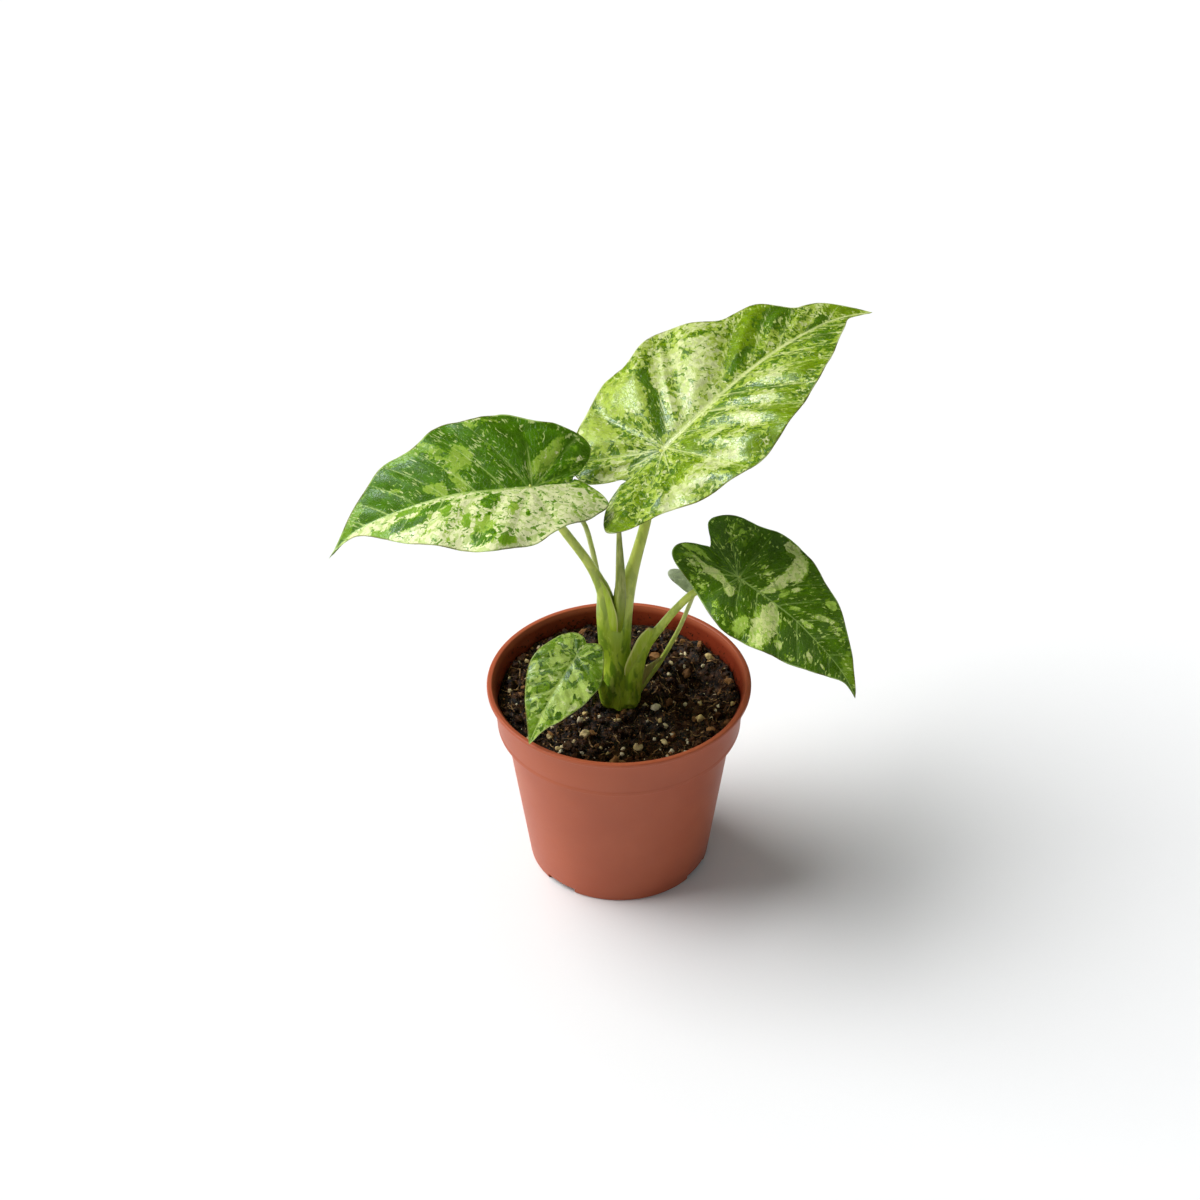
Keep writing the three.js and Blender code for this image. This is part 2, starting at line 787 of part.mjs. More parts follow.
// A sheath wing: a wide stalk with its upper end cut along a slanting plane
function sheathSolid(sheath) {
  const block = new THREE.BoxGeometry(CUT_BLOCK, CUT_BLOCK, CUT_BLOCK).translate(0, 0, CUT_BLOCK / 2);
  const turn = new THREE.Matrix4().makeRotationZ(radians(sheath.high));
  const tilt = new THREE.Matrix4().makeRotationY(-radians(sheath.slant));
  const route = sheath.route;
  const [x, y] = route[route.length - 2];
  block.applyMatrix4(turn.multiply(tilt));
  block.translate(x, y, sheath.top);
  return solidOf(stalk(route, 12, 8)).subtract(solidOf(block));
}

// The stem: corm, clasping sheaths and petioles, grown as one. Each petiole
// stops a small gap below the blade that it carries.
function stemGeometry() {
  let stem = solidOf(cormGeometry());
  for (const route of Object.values(PETIOLES)) {
    const [sides, rings] = route[0][3] > THICK_STALK ? [12, 18] : [8, 14];
    stem = stem.add(solidOf(stalk(route, sides, rings)));
  }
  for (const sheath of Object.values(SHEATHS)) stem = stem.add(sheathSolid(sheath));
  for (const leaf of Object.values(LEAVES)) {
    stem = stem.subtract(solidOf(bladeGeometry(leaf, GUARD_HEIGHT, BLADE_THICKNESS + GAP)));
  }
  const room = SPEAR_ROUTE.map(([x, y, z, radius]) => [x, y, z, radius + GAP]);
  room[0][2] -= GAP;
  return geometryOf(stem.subtract(solidOf(stalk(room, 10, 14))));
}

function part(name, geometry, color, roughness) {
  const material = new THREE.MeshStandardMaterial({ color, roughness, metalness: 0 });
  const mesh = new THREE.Mesh(finished(geometry), material);
  mesh.name = name;
  return mesh;
}

const plant = new THREE.Group();
plant.add(part("pot", potGeometry(), TERRACOTTA, 0.45));
plant.add(part("soil", soilGeometry(), PEAT, 0.95));
plant.add(part("stem", stemGeometry(), STALK_GREEN, 0.4));
plant.add(part("new_leaf", stalk(SPEAR_ROUTE, 10, 14), SPEAR_GREEN, 0.4));
for (const [name, leaf] of Object.entries(LEAVES)) {
  plant.add(part(`blade_${name}`, bladeGeometry(leaf, 0, BLADE_THICKNESS), leaf.color, 0.35));
}

export default plant;
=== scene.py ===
"""Looks of a young variegated giant taro in a terracotta-coloured nursery pot.

Everything is in metres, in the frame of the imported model: the origin is the
centre of the pot's underside, +X to the right, +Y to the back and +Z up.
"""

import logging
import math
from dataclasses import dataclass, field
from enum import Enum
from itertools import combinations
from typing import Any, Optional, Sequence, Union

import bmesh
import bpy
import numpy as np
from mathutils import Matrix, Vector


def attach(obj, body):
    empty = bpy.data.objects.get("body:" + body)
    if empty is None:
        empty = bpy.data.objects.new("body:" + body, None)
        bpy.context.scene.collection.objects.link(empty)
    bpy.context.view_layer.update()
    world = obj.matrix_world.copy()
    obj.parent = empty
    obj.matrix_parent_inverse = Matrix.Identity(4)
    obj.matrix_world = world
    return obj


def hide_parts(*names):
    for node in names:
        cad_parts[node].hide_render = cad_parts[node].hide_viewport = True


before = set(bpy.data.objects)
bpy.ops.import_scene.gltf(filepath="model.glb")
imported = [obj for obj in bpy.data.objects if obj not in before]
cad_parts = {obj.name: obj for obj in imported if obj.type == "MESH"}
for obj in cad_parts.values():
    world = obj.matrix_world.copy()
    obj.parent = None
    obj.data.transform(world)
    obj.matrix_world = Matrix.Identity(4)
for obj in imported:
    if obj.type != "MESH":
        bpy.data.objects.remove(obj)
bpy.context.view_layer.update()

log = logging.getLogger("taro")

BODY = "root"
MM = 0.001
SOIL_LEVEL = 86 * MM
SCREEN_GAMMA = 2.2
# Cells along each edge of the noise's table, after which it repeats
LATTICE = 32

Array = np.ndarray
Piece = bpy.types.Object
Socket = bpy.types.NodeSocket
Colour = tuple[float, float, float]
Place = tuple[float, float, float]
Line = tuple[tuple[float, ...], ...]
Shell = tuple[Array, Array]


def srgb(red: int, green: int, blue: int) -> Colour:
    """Turn a colour of 0 to 255 as seen on a screen into linear light."""
    return tuple((value / 255.0) ** SCREEN_GAMMA for value in (red, green, blue))


def darkened(colour: Colour, share: float) -> Colour:
    """Keep a share of a colour's light."""
    return tuple(share * part for part in colour)


# Numbers in smooth shapes


def smoothstep(low: float, high: float, values: Array) -> Array:
    """Ease from 0 at `low` to 1 at `high`, as 3t² - 2t³."""
    share = np.clip((values - low) / (high - low), 0.0, 1.0)
    return share * share * (3.0 - 2.0 * share)


def spline(points: Sequence[Sequence[float]], count: int) -> Array:
    """Sample a smooth curve through points.

    Between two points it is the cubic whose slope at each point is half the
    step from its earlier to its later neighbour.

    Args:
        points: The points that the curve passes, in any dimension.
        count: How many samples to take, evenly in the points' own count.

    Returns:
        An array of `count` samples.
    """
    known = np.asarray(points, float)
    padded = np.vstack([2 * known[0] - known[1], known, 2 * known[-1] - known[-2]])
    place = np.linspace(0.0, len(known) - 1.0, count)
    step = np.minimum(place.astype(int), len(known) - 2)
    share = (place - step)[:, None]
    before, start, stop, after = (padded[step + i] for i in range(4))
    leave, arrive = (stop - before) / 2, (after - start) / 2
    cubic = 2 * start - 2 * stop + leave + arrive
    square = -3 * start + 3 * stop - 2 * leave - arrive
    return ((cubic * share + square) * share + leave) * share + start


def lattice_noise(points: Array, seed: int) -> Array:
    """Smooth noise from -1 to 1 at points in space.

    Each corner of the unit lattice has one random number, and a point takes
    the eased mix of the eight corners round it.

    Args:
        points: An array of points, its last axis x, y, z.
        seed: Picks the random numbers.

    Returns:
        One number for each point.
    """
    table = np.random.default_rng(seed).uniform(-1.0, 1.0, (LATTICE, LATTICE, LATTICE))
    low = np.floor(points).astype(int)
    share = smoothstep(0.0, 1.0, points - low)
    total = np.zeros(points.shape[:-1])
    for corner in np.ndindex(2, 2, 2):
        cell = (low + corner) % LATTICE
        weight = np.prod(np.where(corner, share, 1.0 - share), axis=-1)
        total += weight * table[cell[..., 0], cell[..., 1], cell[..., 2]]
    return total


def layered_noise(points: Array, seed: int, layers: int, falloff: float = 0.5) -> Array:
    """Add layers of lattice noise, each twice as fine and `falloff` as strong.

    Args:
        points: Places, the last axis x, y, z.
        seed: Picks the random numbers.
        layers: How many layers.
        falloff: The strength of a layer over that of the one before.

    Returns:
        One number for each point.
    """
    total = np.zeros(points.shape[:-1])
    for layer in range(layers):
        total += falloff**layer * lattice_noise(points * 2.0**layer, seed + layer)
    return total


def circle(sides: int) -> Array:
    """Angles evenly round a circle, in radians."""
    return np.linspace(0.0, 2 * np.pi, sides, endpoint=False)


def flat(x: Array, y: Array) -> Array:
    """Pair two tables as places on the level z = 0."""
    return np.stack([x, y, np.zeros_like(x)], -1)


# Meshes


def linked(name: str, data: bpy.types.ID) -> Piece:
    """Put a mesh, light or camera into the scene as an object at the origin.

    Args:
        name: The object's name.
        data: The mesh, light or camera.

    Returns:
        The new object.
    """
    item = bpy.data.objects.new(name, data)
    bpy.context.scene.collection.objects.link(item)
    return item


def mesh_piece(name: str, points: Array, faces: Array, smooth: bool = True) -> Piece:
    """Make an object at the origin from points and faces.

    Args:
        name: The piece's name.
        points: The points, as rows of x, y, z.
        faces: Rows of three or four point numbers, anticlockwise from outside.
        smooth: Whether the faces are shaded as one smooth surface.

    Returns:
        The new object.
    """
    mesh = bpy.data.meshes.new(name)
    mesh.from_pydata(np.asarray(points, float).tolist(), [], np.asarray(faces).tolist())
    mesh.polygons.foreach_set("use_smooth", np.full(len(mesh.polygons), smooth))
    mesh.update()
    return linked(name, mesh)


def store(piece: Piece, name: str, values: Array) -> None:
    """Store a number, or a row of three, for each point of a piece, for its finish to read.

    Args:
        piece: The piece.
        name: The name under which the finish reads it.
        values: A value for each point.
    """
    kind, key = ("FLOAT", "value") if np.ndim(values) == 1 else ("FLOAT_VECTOR", "vector")
    layer = piece.data.attributes.new(name, kind, "POINT")
    layer.data.foreach_set(key, np.asarray(values, np.float32).ravel())


def grid_faces(rows: int, columns: int, ring: bool = False) -> Array:
    """Join a grid of points by faces of four.

    Args:
        rows: Points along the first parameter.
        columns: Points along the second parameter.
        ring: Whether the last column joins the first again.

    Returns:
        Rows of four point numbers.
    """
    row = np.arange(rows - 1)[:, None]
    column = np.arange(columns if ring else columns - 1)[None, :]
    beside = (column + 1) % columns
    corners = (row * columns + column, row * columns + beside)
    over = ((row + 1) * columns + beside, (row + 1) * columns + column)
    return np.stack([*corners, *over], -1).reshape(-1, 4)


def joined(shells: Sequence[Shell]) -> Shell:
    """Put shells, each as its points and faces, together as one shell.

    Args:
        shells: The points and faces of each shell.

    Returns:
        All points and all faces.
    """
    starts = np.cumsum([0, *(len(points) for points, _ in shells[:-1])])
    faces = [cover + start for (_, cover), start in zip(shells, starts)]
    return np.vstack([points for points, _ in shells]), np.vstack(faces)


def revolved(profile: Array, sides: int) -> Array:
    """Turn a profile of radius and height round the Z axis, as a ring of points for each row."""
    radius, height, turn = profile[:, :1], profile[:, 1:], circle(sides)
    return np.stack([radius * np.cos(turn), radius * np.sin(turn), height + 0 * turn], -1)


def triangle_normals(points: Array, triangles: Array) -> Array:
    """A vector square to each triangle, as long as twice its area."""
    first, second, third = (points[corner] for corner in triangles.T)
    return np.cross(second - first, third - first)


def tube(route: Array, radii: Array, sides: int) -> Shell:
    """Carry a round section along a route and close both ends.

    Each ring lies square to the route. Its first direction is the world's Y
    turned square to the route, and the ends close on one point each.

    Args:
        route: The middle line, as rows of x, y, z.
        radii: The radius at each row, or a table of rows by sides.
        sides: Points in each ring.

    Returns:
        The points, and the faces as rows of four numbers.
    """
    heading = np.gradient(route, axis=0)
    heading /= np.linalg.norm(heading, axis=1, keepdims=True)
    side = np.cross([0.0, 1.0, 0.0], heading)
    side /= np.linalg.norm(side, axis=1, keepdims=True)
    front = np.cross(heading, side)
    turn = circle(sides)[:, None]
    size = np.broadcast_to(np.reshape(radii, (len(route), -1)), (len(route), sides))
    across = np.cos(turn) * side[:, None] + np.sin(turn) * front[:, None]
    rings = route[:, None] + size[..., None] * across
    start, stop = np.repeat(route[:1], sides, 0), np.repeat(route[-1:], sides, 0)
    points = np.vstack([start, rings.reshape(-1, 3), stop])
    return points, grid_faces(len(route) + 2, sides, ring=True)


def merge_points(piece: Piece, distance: float = 1e-7) -> None:
    """Join the points of a piece that lie in one place.

    Args:
        piece: The piece.
        distance: How close the points lie.
    """
    work = bmesh.new()
    work.from_mesh(piece.data)
    bmesh.ops.remove_doubles(work, verts=work.verts, dist=distance)
    bmesh.ops.recalc_face_normals(work, faces=work.faces)
    work.to_mesh(piece.data)
    work.free()


def apply_modifiers(piece: Piece) -> None:
    """Put the result of a piece's modifiers into its mesh.

    Args:
        piece: The piece.
    """
    graph = bpy.context.evaluated_depsgraph_get()
    mesh = bpy.data.meshes.new_from_object(piece.evaluated_get(graph))
    old = piece.data
    piece.modifiers.clear()
    piece.data = mesh
    bpy.data.meshes.remove(old)


def mesh_points(piece: Piece) -> Array:
    """Read the points of a piece as rows of x, y, z.

    Args:
        piece: The piece.

    Returns:
        One row for each point.
    """
    points = np.empty(len(piece.data.vertices) * 3, np.float32)
    piece.data.vertices.foreach_get("co", points)
    return points.reshape(-1, 3).astype(float)


# Shader nodes


class Value:
    """A number that varies over a surface; arithmetic on it adds Math nodes."""

    def __init__(self, graph: "Graph", socket: Socket) -> None:
        """Keep the socket that gives the number, and its graph."""
        self.graph = graph
        self.socket = socket

    def __add__(self, other: "Number") -> "Value":
        """Add."""
        return self.graph.math("ADD", self, other)

    def __radd__(self, other: "Number") -> "Value":
        """Add to a plain number."""
        return self.graph.math("ADD", other, self)

    def __sub__(self, other: "Number") -> "Value":
        """Take away."""
        return self.graph.math("SUBTRACT", self, other)

    def __rsub__(self, other: "Number") -> "Value":
        """Take away from a plain number."""
        return self.graph.math("SUBTRACT", other, self)

    def __mul__(self, other: "Number") -> "Value":
        """Multiply."""
        return self.graph.math("MULTIPLY", self, other)

    def __rmul__(self, other: "Number") -> "Value":
        """Multiply a plain number."""
        return self.graph.math("MULTIPLY", other, self)

    def __truediv__(self, other: "Number") -> "Value":
        """Divide."""
        return self.graph.math("DIVIDE", self, other)

    def step(self, low: float, high: float) -> "Value":
        """Ease from 0 at `low` to 1 at `high`."""
        inputs = {"Value": self, "From Min": low, "From Max": high}
        return self.graph.value("ShaderNodeMapRange", inputs, {"interpolation_type": "SMOOTHSTEP"})

    def clamped(self) -> "Value":
        """Hold the number between 0 and 1."""
        return self.graph.value("ShaderNodeClamp", {"Value": self})


Number = Union[Value, float, int]


class Graph:
    """The nodes of one material, with its surface shader."""

    def __init__(self, name: str) -> None:
        """Start an empty material with a Principled shader.

        Args:
            name: The material's name.
        """
        self.material = bpy.data.materials.new(name)
        self.material.use_nodes = True
        self.tree = self.material.node_tree
        self.tree.nodes.clear()
        self.shader = self.node("ShaderNodeBsdfPrincipled")
        self.node("ShaderNodeOutputMaterial", {"Surface": self.shader.outputs[0]})

    def node(
        self,
        kind: str,
        inputs: Optional[dict[Union[str, int], Any]] = None,
        settings: Optional[dict[str, Any]] = None,
    ) -> bpy.types.Node:
        """Add a node.

        Args:
            kind: The node's type.
            inputs: Values, sockets or constants for its sockets, by name or number.
            settings: The node's own settings, set before its sockets; `stops`
                is a list of places and colours for a colour ramp.

        Returns:
            The new node.
        """
        node = self.tree.nodes.new(kind)
        for key, setting in (settings or {}).items():
            if key == "stops":
                self._set_stops(node, setting)
            else:
                setattr(node, key, setting)
        self._plug(node, inputs or {})
        return node

    def _plug(self, node: bpy.types.Node, inputs: dict[Union[str, int], Any]) -> None:
        """Link a node's sockets to values and other sockets, or set them to constants.

        Args:
            node: The node.
            inputs: Values, sockets or constants, by the socket's name or number.
        """
        for key, source in inputs.items():
            socket = node.inputs[key]
            if isinstance(source, Value):
                source = source.socket
            if isinstance(source, Socket):
                self.tree.links.new(source, socket)
            elif socket.type == "RGBA":
                socket.default_value = (*source, 1.0)
            else:
                socket.default_value = source

    @staticmethod
    def _set_stops(node: bpy.types.Node, stops: Sequence[tuple[float, Colour]]) -> None:
        """Give a colour ramp its stops.

        Args:
            node: The colour ramp.
            stops: The place and colour of each stop.
        """
        ramp = node.color_ramp
        while len(ramp.elements) < len(stops):
            ramp.elements.new(1.0)
        for element, (place, colour) in zip(ramp.elements, stops):
            element.position = place
            element.color = (*colour, 1.0)

    def value(self, kind: str, inputs: dict, settings: Optional[dict] = None) -> Value:
        """Add a node and take its first output as a number."""
        return Value(self, self.node(kind, inputs, settings).outputs[0])

    def parts(self, vector: Socket) -> tuple[Value, ...]:
        """Take a vector apart into its three numbers."""
        node = self.node("ShaderNodeSeparateXYZ", {0: vector})
        return tuple(Value(self, output) for output in node.outputs)

    def math(self, operation: str, first: Number, second: Number) -> Value:
        """Add one Math node."""
        return self.value("ShaderNodeMath", {0: first, 1: second}, {"operation": operation})

    def object_place(self) -> Socket:
        """The place on the piece, in metres."""
        return self.node("ShaderNodeTexCoord").outputs["Object"]

    def attribute(self, name: str) -> bpy.types.Node:
        """Read one of the piece's own attributes."""
        return self.node("ShaderNodeAttribute", None, {"attribute_name": name})

    def number(self, name: str) -> Value:
        """Read a number stored on the piece."""
        return Value(self, self.attribute(name).outputs["Fac"])

    def vector(self, name: str) -> Socket:
        """Read a vector stored on the piece."""
        return self.attribute(name).outputs["Vector"]

    def scaled(self, place: Socket, scale: Place, shift: Any = (0.0, 0.0, 0.0)) -> Socket:
        """Stretch places by a scale for each axis and then shift them."""
        inputs = {0: place, 1: scale, 2: shift}
        return self.node("ShaderNodeVectorMath", inputs, {"operation": "MULTIPLY_ADD"}).outputs[0]

    def noise(
        self,
        place: Socket,
        scale: float,
        detail: float = 2.0,
        warp: float = 0.0,
        rough: float = 0.5,
        stretch: Optional[Place] = None,
    ) -> Value:
        """Cloudy noise round 0.5.

        Args:
            place: Where to look the noise up.
            scale: How fine it is.
            detail: How many finer layers it has.
            warp: How far it is distorted.
            rough: How strong the finer layers are.
            stretch: How much finer it is along each axis, if it differs.

        Returns:
            The noise.
        """
        inputs = {
            "Vector": self.scaled(place, stretch) if stretch else place,
            "Scale": scale,
            "Detail": detail,
            "Distortion": warp,
            "Roughness": rough,
        }
        return self.value("ShaderNodeTexNoise", inputs)

    def cells(self, place: Socket, scale: float, feature: str = "F1") -> Value:
        """Distance within random cells, or to their edges."""
        inputs = {"Vector": place, "Scale": scale}
        return self.value("ShaderNodeTexVoronoi", inputs, {"feature": feature})

    def mix(self, factor: Number, first: Any, second: Any) -> Socket:
        """Mix two colours."""
        inputs = {0: factor, 6: first, 7: second}
        return self.node("ShaderNodeMix", inputs, {"data_type": "RGBA"}).outputs[2]

    def ramp(self, factor: Number, stops: Sequence[tuple[float, Colour]]) -> Socket:
        """Look a colour up on a ramp."""
        return self.node("ShaderNodeValToRGB", {"Fac": factor}, {"stops": stops}).outputs[0]

    def bump(self, height: Value, distance: float, strength: float = 1.0) -> Socket:
        """Turn a height into a tilt of the surface; `distance` is in metres."""
        inputs = {"Height": height, "Distance": distance, "Strength": strength}
        return self.node("ShaderNodeBump", inputs).outputs[0]

    def finish(
        self, colour: Any, rough: Number, normal: Any = None, gloss: float = 0.5, **soft: Any
    ) -> bpy.types.Material:
        """Set the surface shader's sockets.

        Args:
            colour: The base colour.
            rough: The roughness.
            normal: The normal, if it is bumped.
            gloss: The strength of reflections that face the eye.
            soft: The subsurface sockets' constants, by the last word of their names.

        Returns:
            The material.
        """
        sockets = {"Base Color": colour, "Roughness": rough, "Specular IOR Level": gloss}
        if normal:
            sockets["Normal"] = normal
        sockets |= {f"Subsurface {word.title()}": value for word, value in soft.items()}
        self._plug(self.shader, sockets)
        return self.material


# Leaf blades


class Half(Enum):
    """The two halves of a blade, as the sign of their side."""

    LEFT = 1
    RIGHT = -1


@dataclass(frozen=True)
class Vein:
    """A side vein, which runs along x = root + sweep·b + bow·b².

    Here b is the distance from the midrib, and all are shares of the blade's length.
    """

    root: float
    sweep: float
    bow: float = 0.0


class Tone(Enum):
    """Tones of a blade, as their shares of green, lime and cream over the dark ground."""

    DARK = (0.12, -0.1, -0.1)
    FLECKED = (0.42, 0.3, 0.24)
    GREEN = (1.0, 0.15, 0.0)
    LEAFY = (0.5, 0.36, 0.05)
    LIVELY = (0.45, 0.42, 0.2)
    LIME = (0.9, 1.05, 0.1)
    MOTTLED = (0.42, 0.52, 0.32)
    PALE = (0.9, 0.9, 0.7)
    CREAM = (0.9, 0.95, 0.98)


@dataclass(frozen=True)
class Patch:
    """An oval of one tone on a blade, with its middle, half length, half width and turn."""

    x: float
    y: float
    long: float
    wide: float
    turn: float
    tone: Tone


def patches(*rows: tuple[float, float, float, float, float, Tone]) -> tuple[Patch, ...]:
    """Make patches of rows, which give all but the turn and the tone in thousandths."""
    return tuple(Patch(*(value / 1000 for value in row[:4]), *row[4:]) for row in rows)


@dataclass(frozen=True)
class Wave:
    """The ripple of a blade's margins: its height, its count and where each half starts."""

    height: float
    count: float
    left: float
    right: float


class Detail(Enum):
    """How finely a blade is cut: rows to the tip, round the lobe, in the notch, and columns."""

    LARGE = (190, 70, 18, 44)
    MIDDLE = (150, 56, 14, 36)
    SMALL = (90, 34, 10, 26)
    TINY = (60, 22, 8, 18)


def curve(*points: tuple[float, float]) -> Line:
    """Turn the points of a curve from thousandths of a blade's length into shares."""
    return tuple((x / 1000, y / 1000) for x, y in points)


# How far ahead of its root a row of the blade is at 1 from the midrib, the width
# of the midrib's crease, and where the margin's waves reach their height
SWEEP, CREASE, WAVE_REACH = 0.65, 0.03, 0.4

SIDE_VEINS = (
    Vein(-0.01, -3.2), Vein(-0.01, -1.1), Vein(0.0, -0.15, 0.1), Vein(0.02, 0.5, 0.2),
    Vein(0.14, 0.62, 0.35), Vein(0.29, 0.68, 0.45), Vein(0.44, 0.72, 0.55),
    Vein(0.58, 0.76, 0.7), Vein(0.71, 0.8, 0.9), Vein(0.82, 0.85, 1.2),
)

SMALL_MARGIN = curve(
    (1000, 0), (870, 75), (580, 260), (380, 345), (160, 400), (-60, 405), (-260, 345), (-400, 215),
    (-380, 90), (-140, 0),
)


@dataclass(frozen=True)
class BladeShape:
    """A blade's place, bends and outline.

    Angles are in degrees. All shapes are shares of `length`, which runs from
    the petiole's junction to the tip.
    """

    junction: Place
    heading: float
    pitch: float
    bank: float
    length: float
    wave: Wave
    arch: float = 0.34
    lobe: float = 0.2
    fold: float = 0.14
    droop: float = 0.22
    rib: Line = ((-0.3, 0), (0, 0), (0.5, 0), (1, 0))
    left: Line = SMALL_MARGIN
    right: Line = tuple((x, -y) for x, y in SMALL_MARGIN)

    def axes(self) -> tuple[Array, Array, Array]:
        """The blade's own directions: along the midrib, to its left half, and up.

        Returns:
            Three vectors of length 1.
        """
        heading, pitch, bank = (math.radians(a) for a in (self.heading, self.pitch, self.bank))
        ahead = np.array([math.cos(heading), math.sin(heading), 0.0])
        along = ahead * math.cos(pitch) + np.array([0.0, 0.0, math.sin(pitch)])
        level = np.array([-math.sin(heading), math.cos(heading), 0.0])
        across = level * math.cos(bank) + np.cross(along, level) * math.sin(bank)
        return along, across, np.cross(along, across)

    def rib_place(self, x: Array) -> Array:
        """How far the midrib lies to the left of the blade's straight axis."""
        line = spline(self.rib, 80)
        return np.interp(x, line[:, 0], line[:, 1])

    def height(self, x: Array, y: Array) -> Array:
        """Height of the blade over its own plane.

        It is -bend·x² for the arch, + fold·(√(b² + c²) - c) for the V of the
        halves, - droop·b² for the margins and a wave that grows with b², where
        b is the distance from the midrib and c the width of its crease.

        Args:
            x: Places along the midrib.
            y: Places across it.

        Returns:
            The height, as a share of the length.
        """
        offset = y - self.rib_place(x)
        breadth = np.abs(offset)
        bend = np.where(x > 0, self.arch, self.lobe)
        phase = np.where(offset > 0, self.wave.left, self.wave.right)
        turns = self.wave.count * (x - SWEEP * breadth) + phase
        return (
            -bend * x * x
            + self.fold * (np.hypot(breadth, CREASE) - CREASE)
            - self.droop * breadth * breadth
            + self.wave.height * (breadth / WAVE_REACH) ** 2 * np.sin(2 * np.pi * turns)
        )

    def rows(self, half: Half, counts: tuple[int, int, int]) -> tuple[Array, Array]:
        """Pair places on one margin with places on the midrib.

        Ahead of the junction both step evenly along the midrib: a row leaves
        it at x - SWEEP·|y| of its place on the margin, smoothed by a running
        mean. Round the lobe the rows fan out from the junction, and the last
        rows run down the notch, which starts on its inner side.

        Args:
            half: Which half of the blade.
            counts: Rows ahead of the junction, round the lobe and in the notch.

        Returns:
            The margin places and the midrib places, as rows of x, y.
        """
        fine_steps, window = 2000, 301
        inner_breadth, inner_root = 0.16, -0.3
        ahead, lobe, notch = counts
        fine = spline(self.left if half is Half.LEFT else self.right, fine_steps)
        root = fine[:, 0] - SWEEP * np.abs(fine[:, 1])
        order = np.arange(fine_steps)
        before, after = 2 * root[0] - root[window // 2 : 0 : -1], root[-window // 2 + 1 :]
        mean = np.convolve(np.concatenate([before, root, after]), np.ones(window) / window, "valid")
        even = mean[:fine_steps] - 1e-6 * order
        share_ahead = 1.0 - np.arange(ahead + 1) / ahead
        wanted = even[0] * share_ahead
        first = np.interp(-wanted, -np.minimum.accumulate(even), order)
        start = int(first[-1]) + 1
        inner = (fine[:, 0] < 0) & (np.abs(fine[:, 1]) < inner_breadth) & (root < inner_root)
        stop = start + int(np.argmax(inner[start:]))
        middle = np.linspace(start, stop, lobe + 1)[1:]
        last = np.linspace(stop, fine_steps - 1, notch + 1)[1:]
        place = np.concatenate([first, middle, last])
        margin = np.stack([np.interp(place, order, fine[:, i]) for i in (0, 1)], -1)
        back = fine[-1, 0] * np.arange(1, notch + 1) / notch
        rib = np.concatenate([fine[0, 0] * share_ahead, np.zeros(lobe), back])
        return margin, np.stack([rib, self.rib_place(rib)], -1)


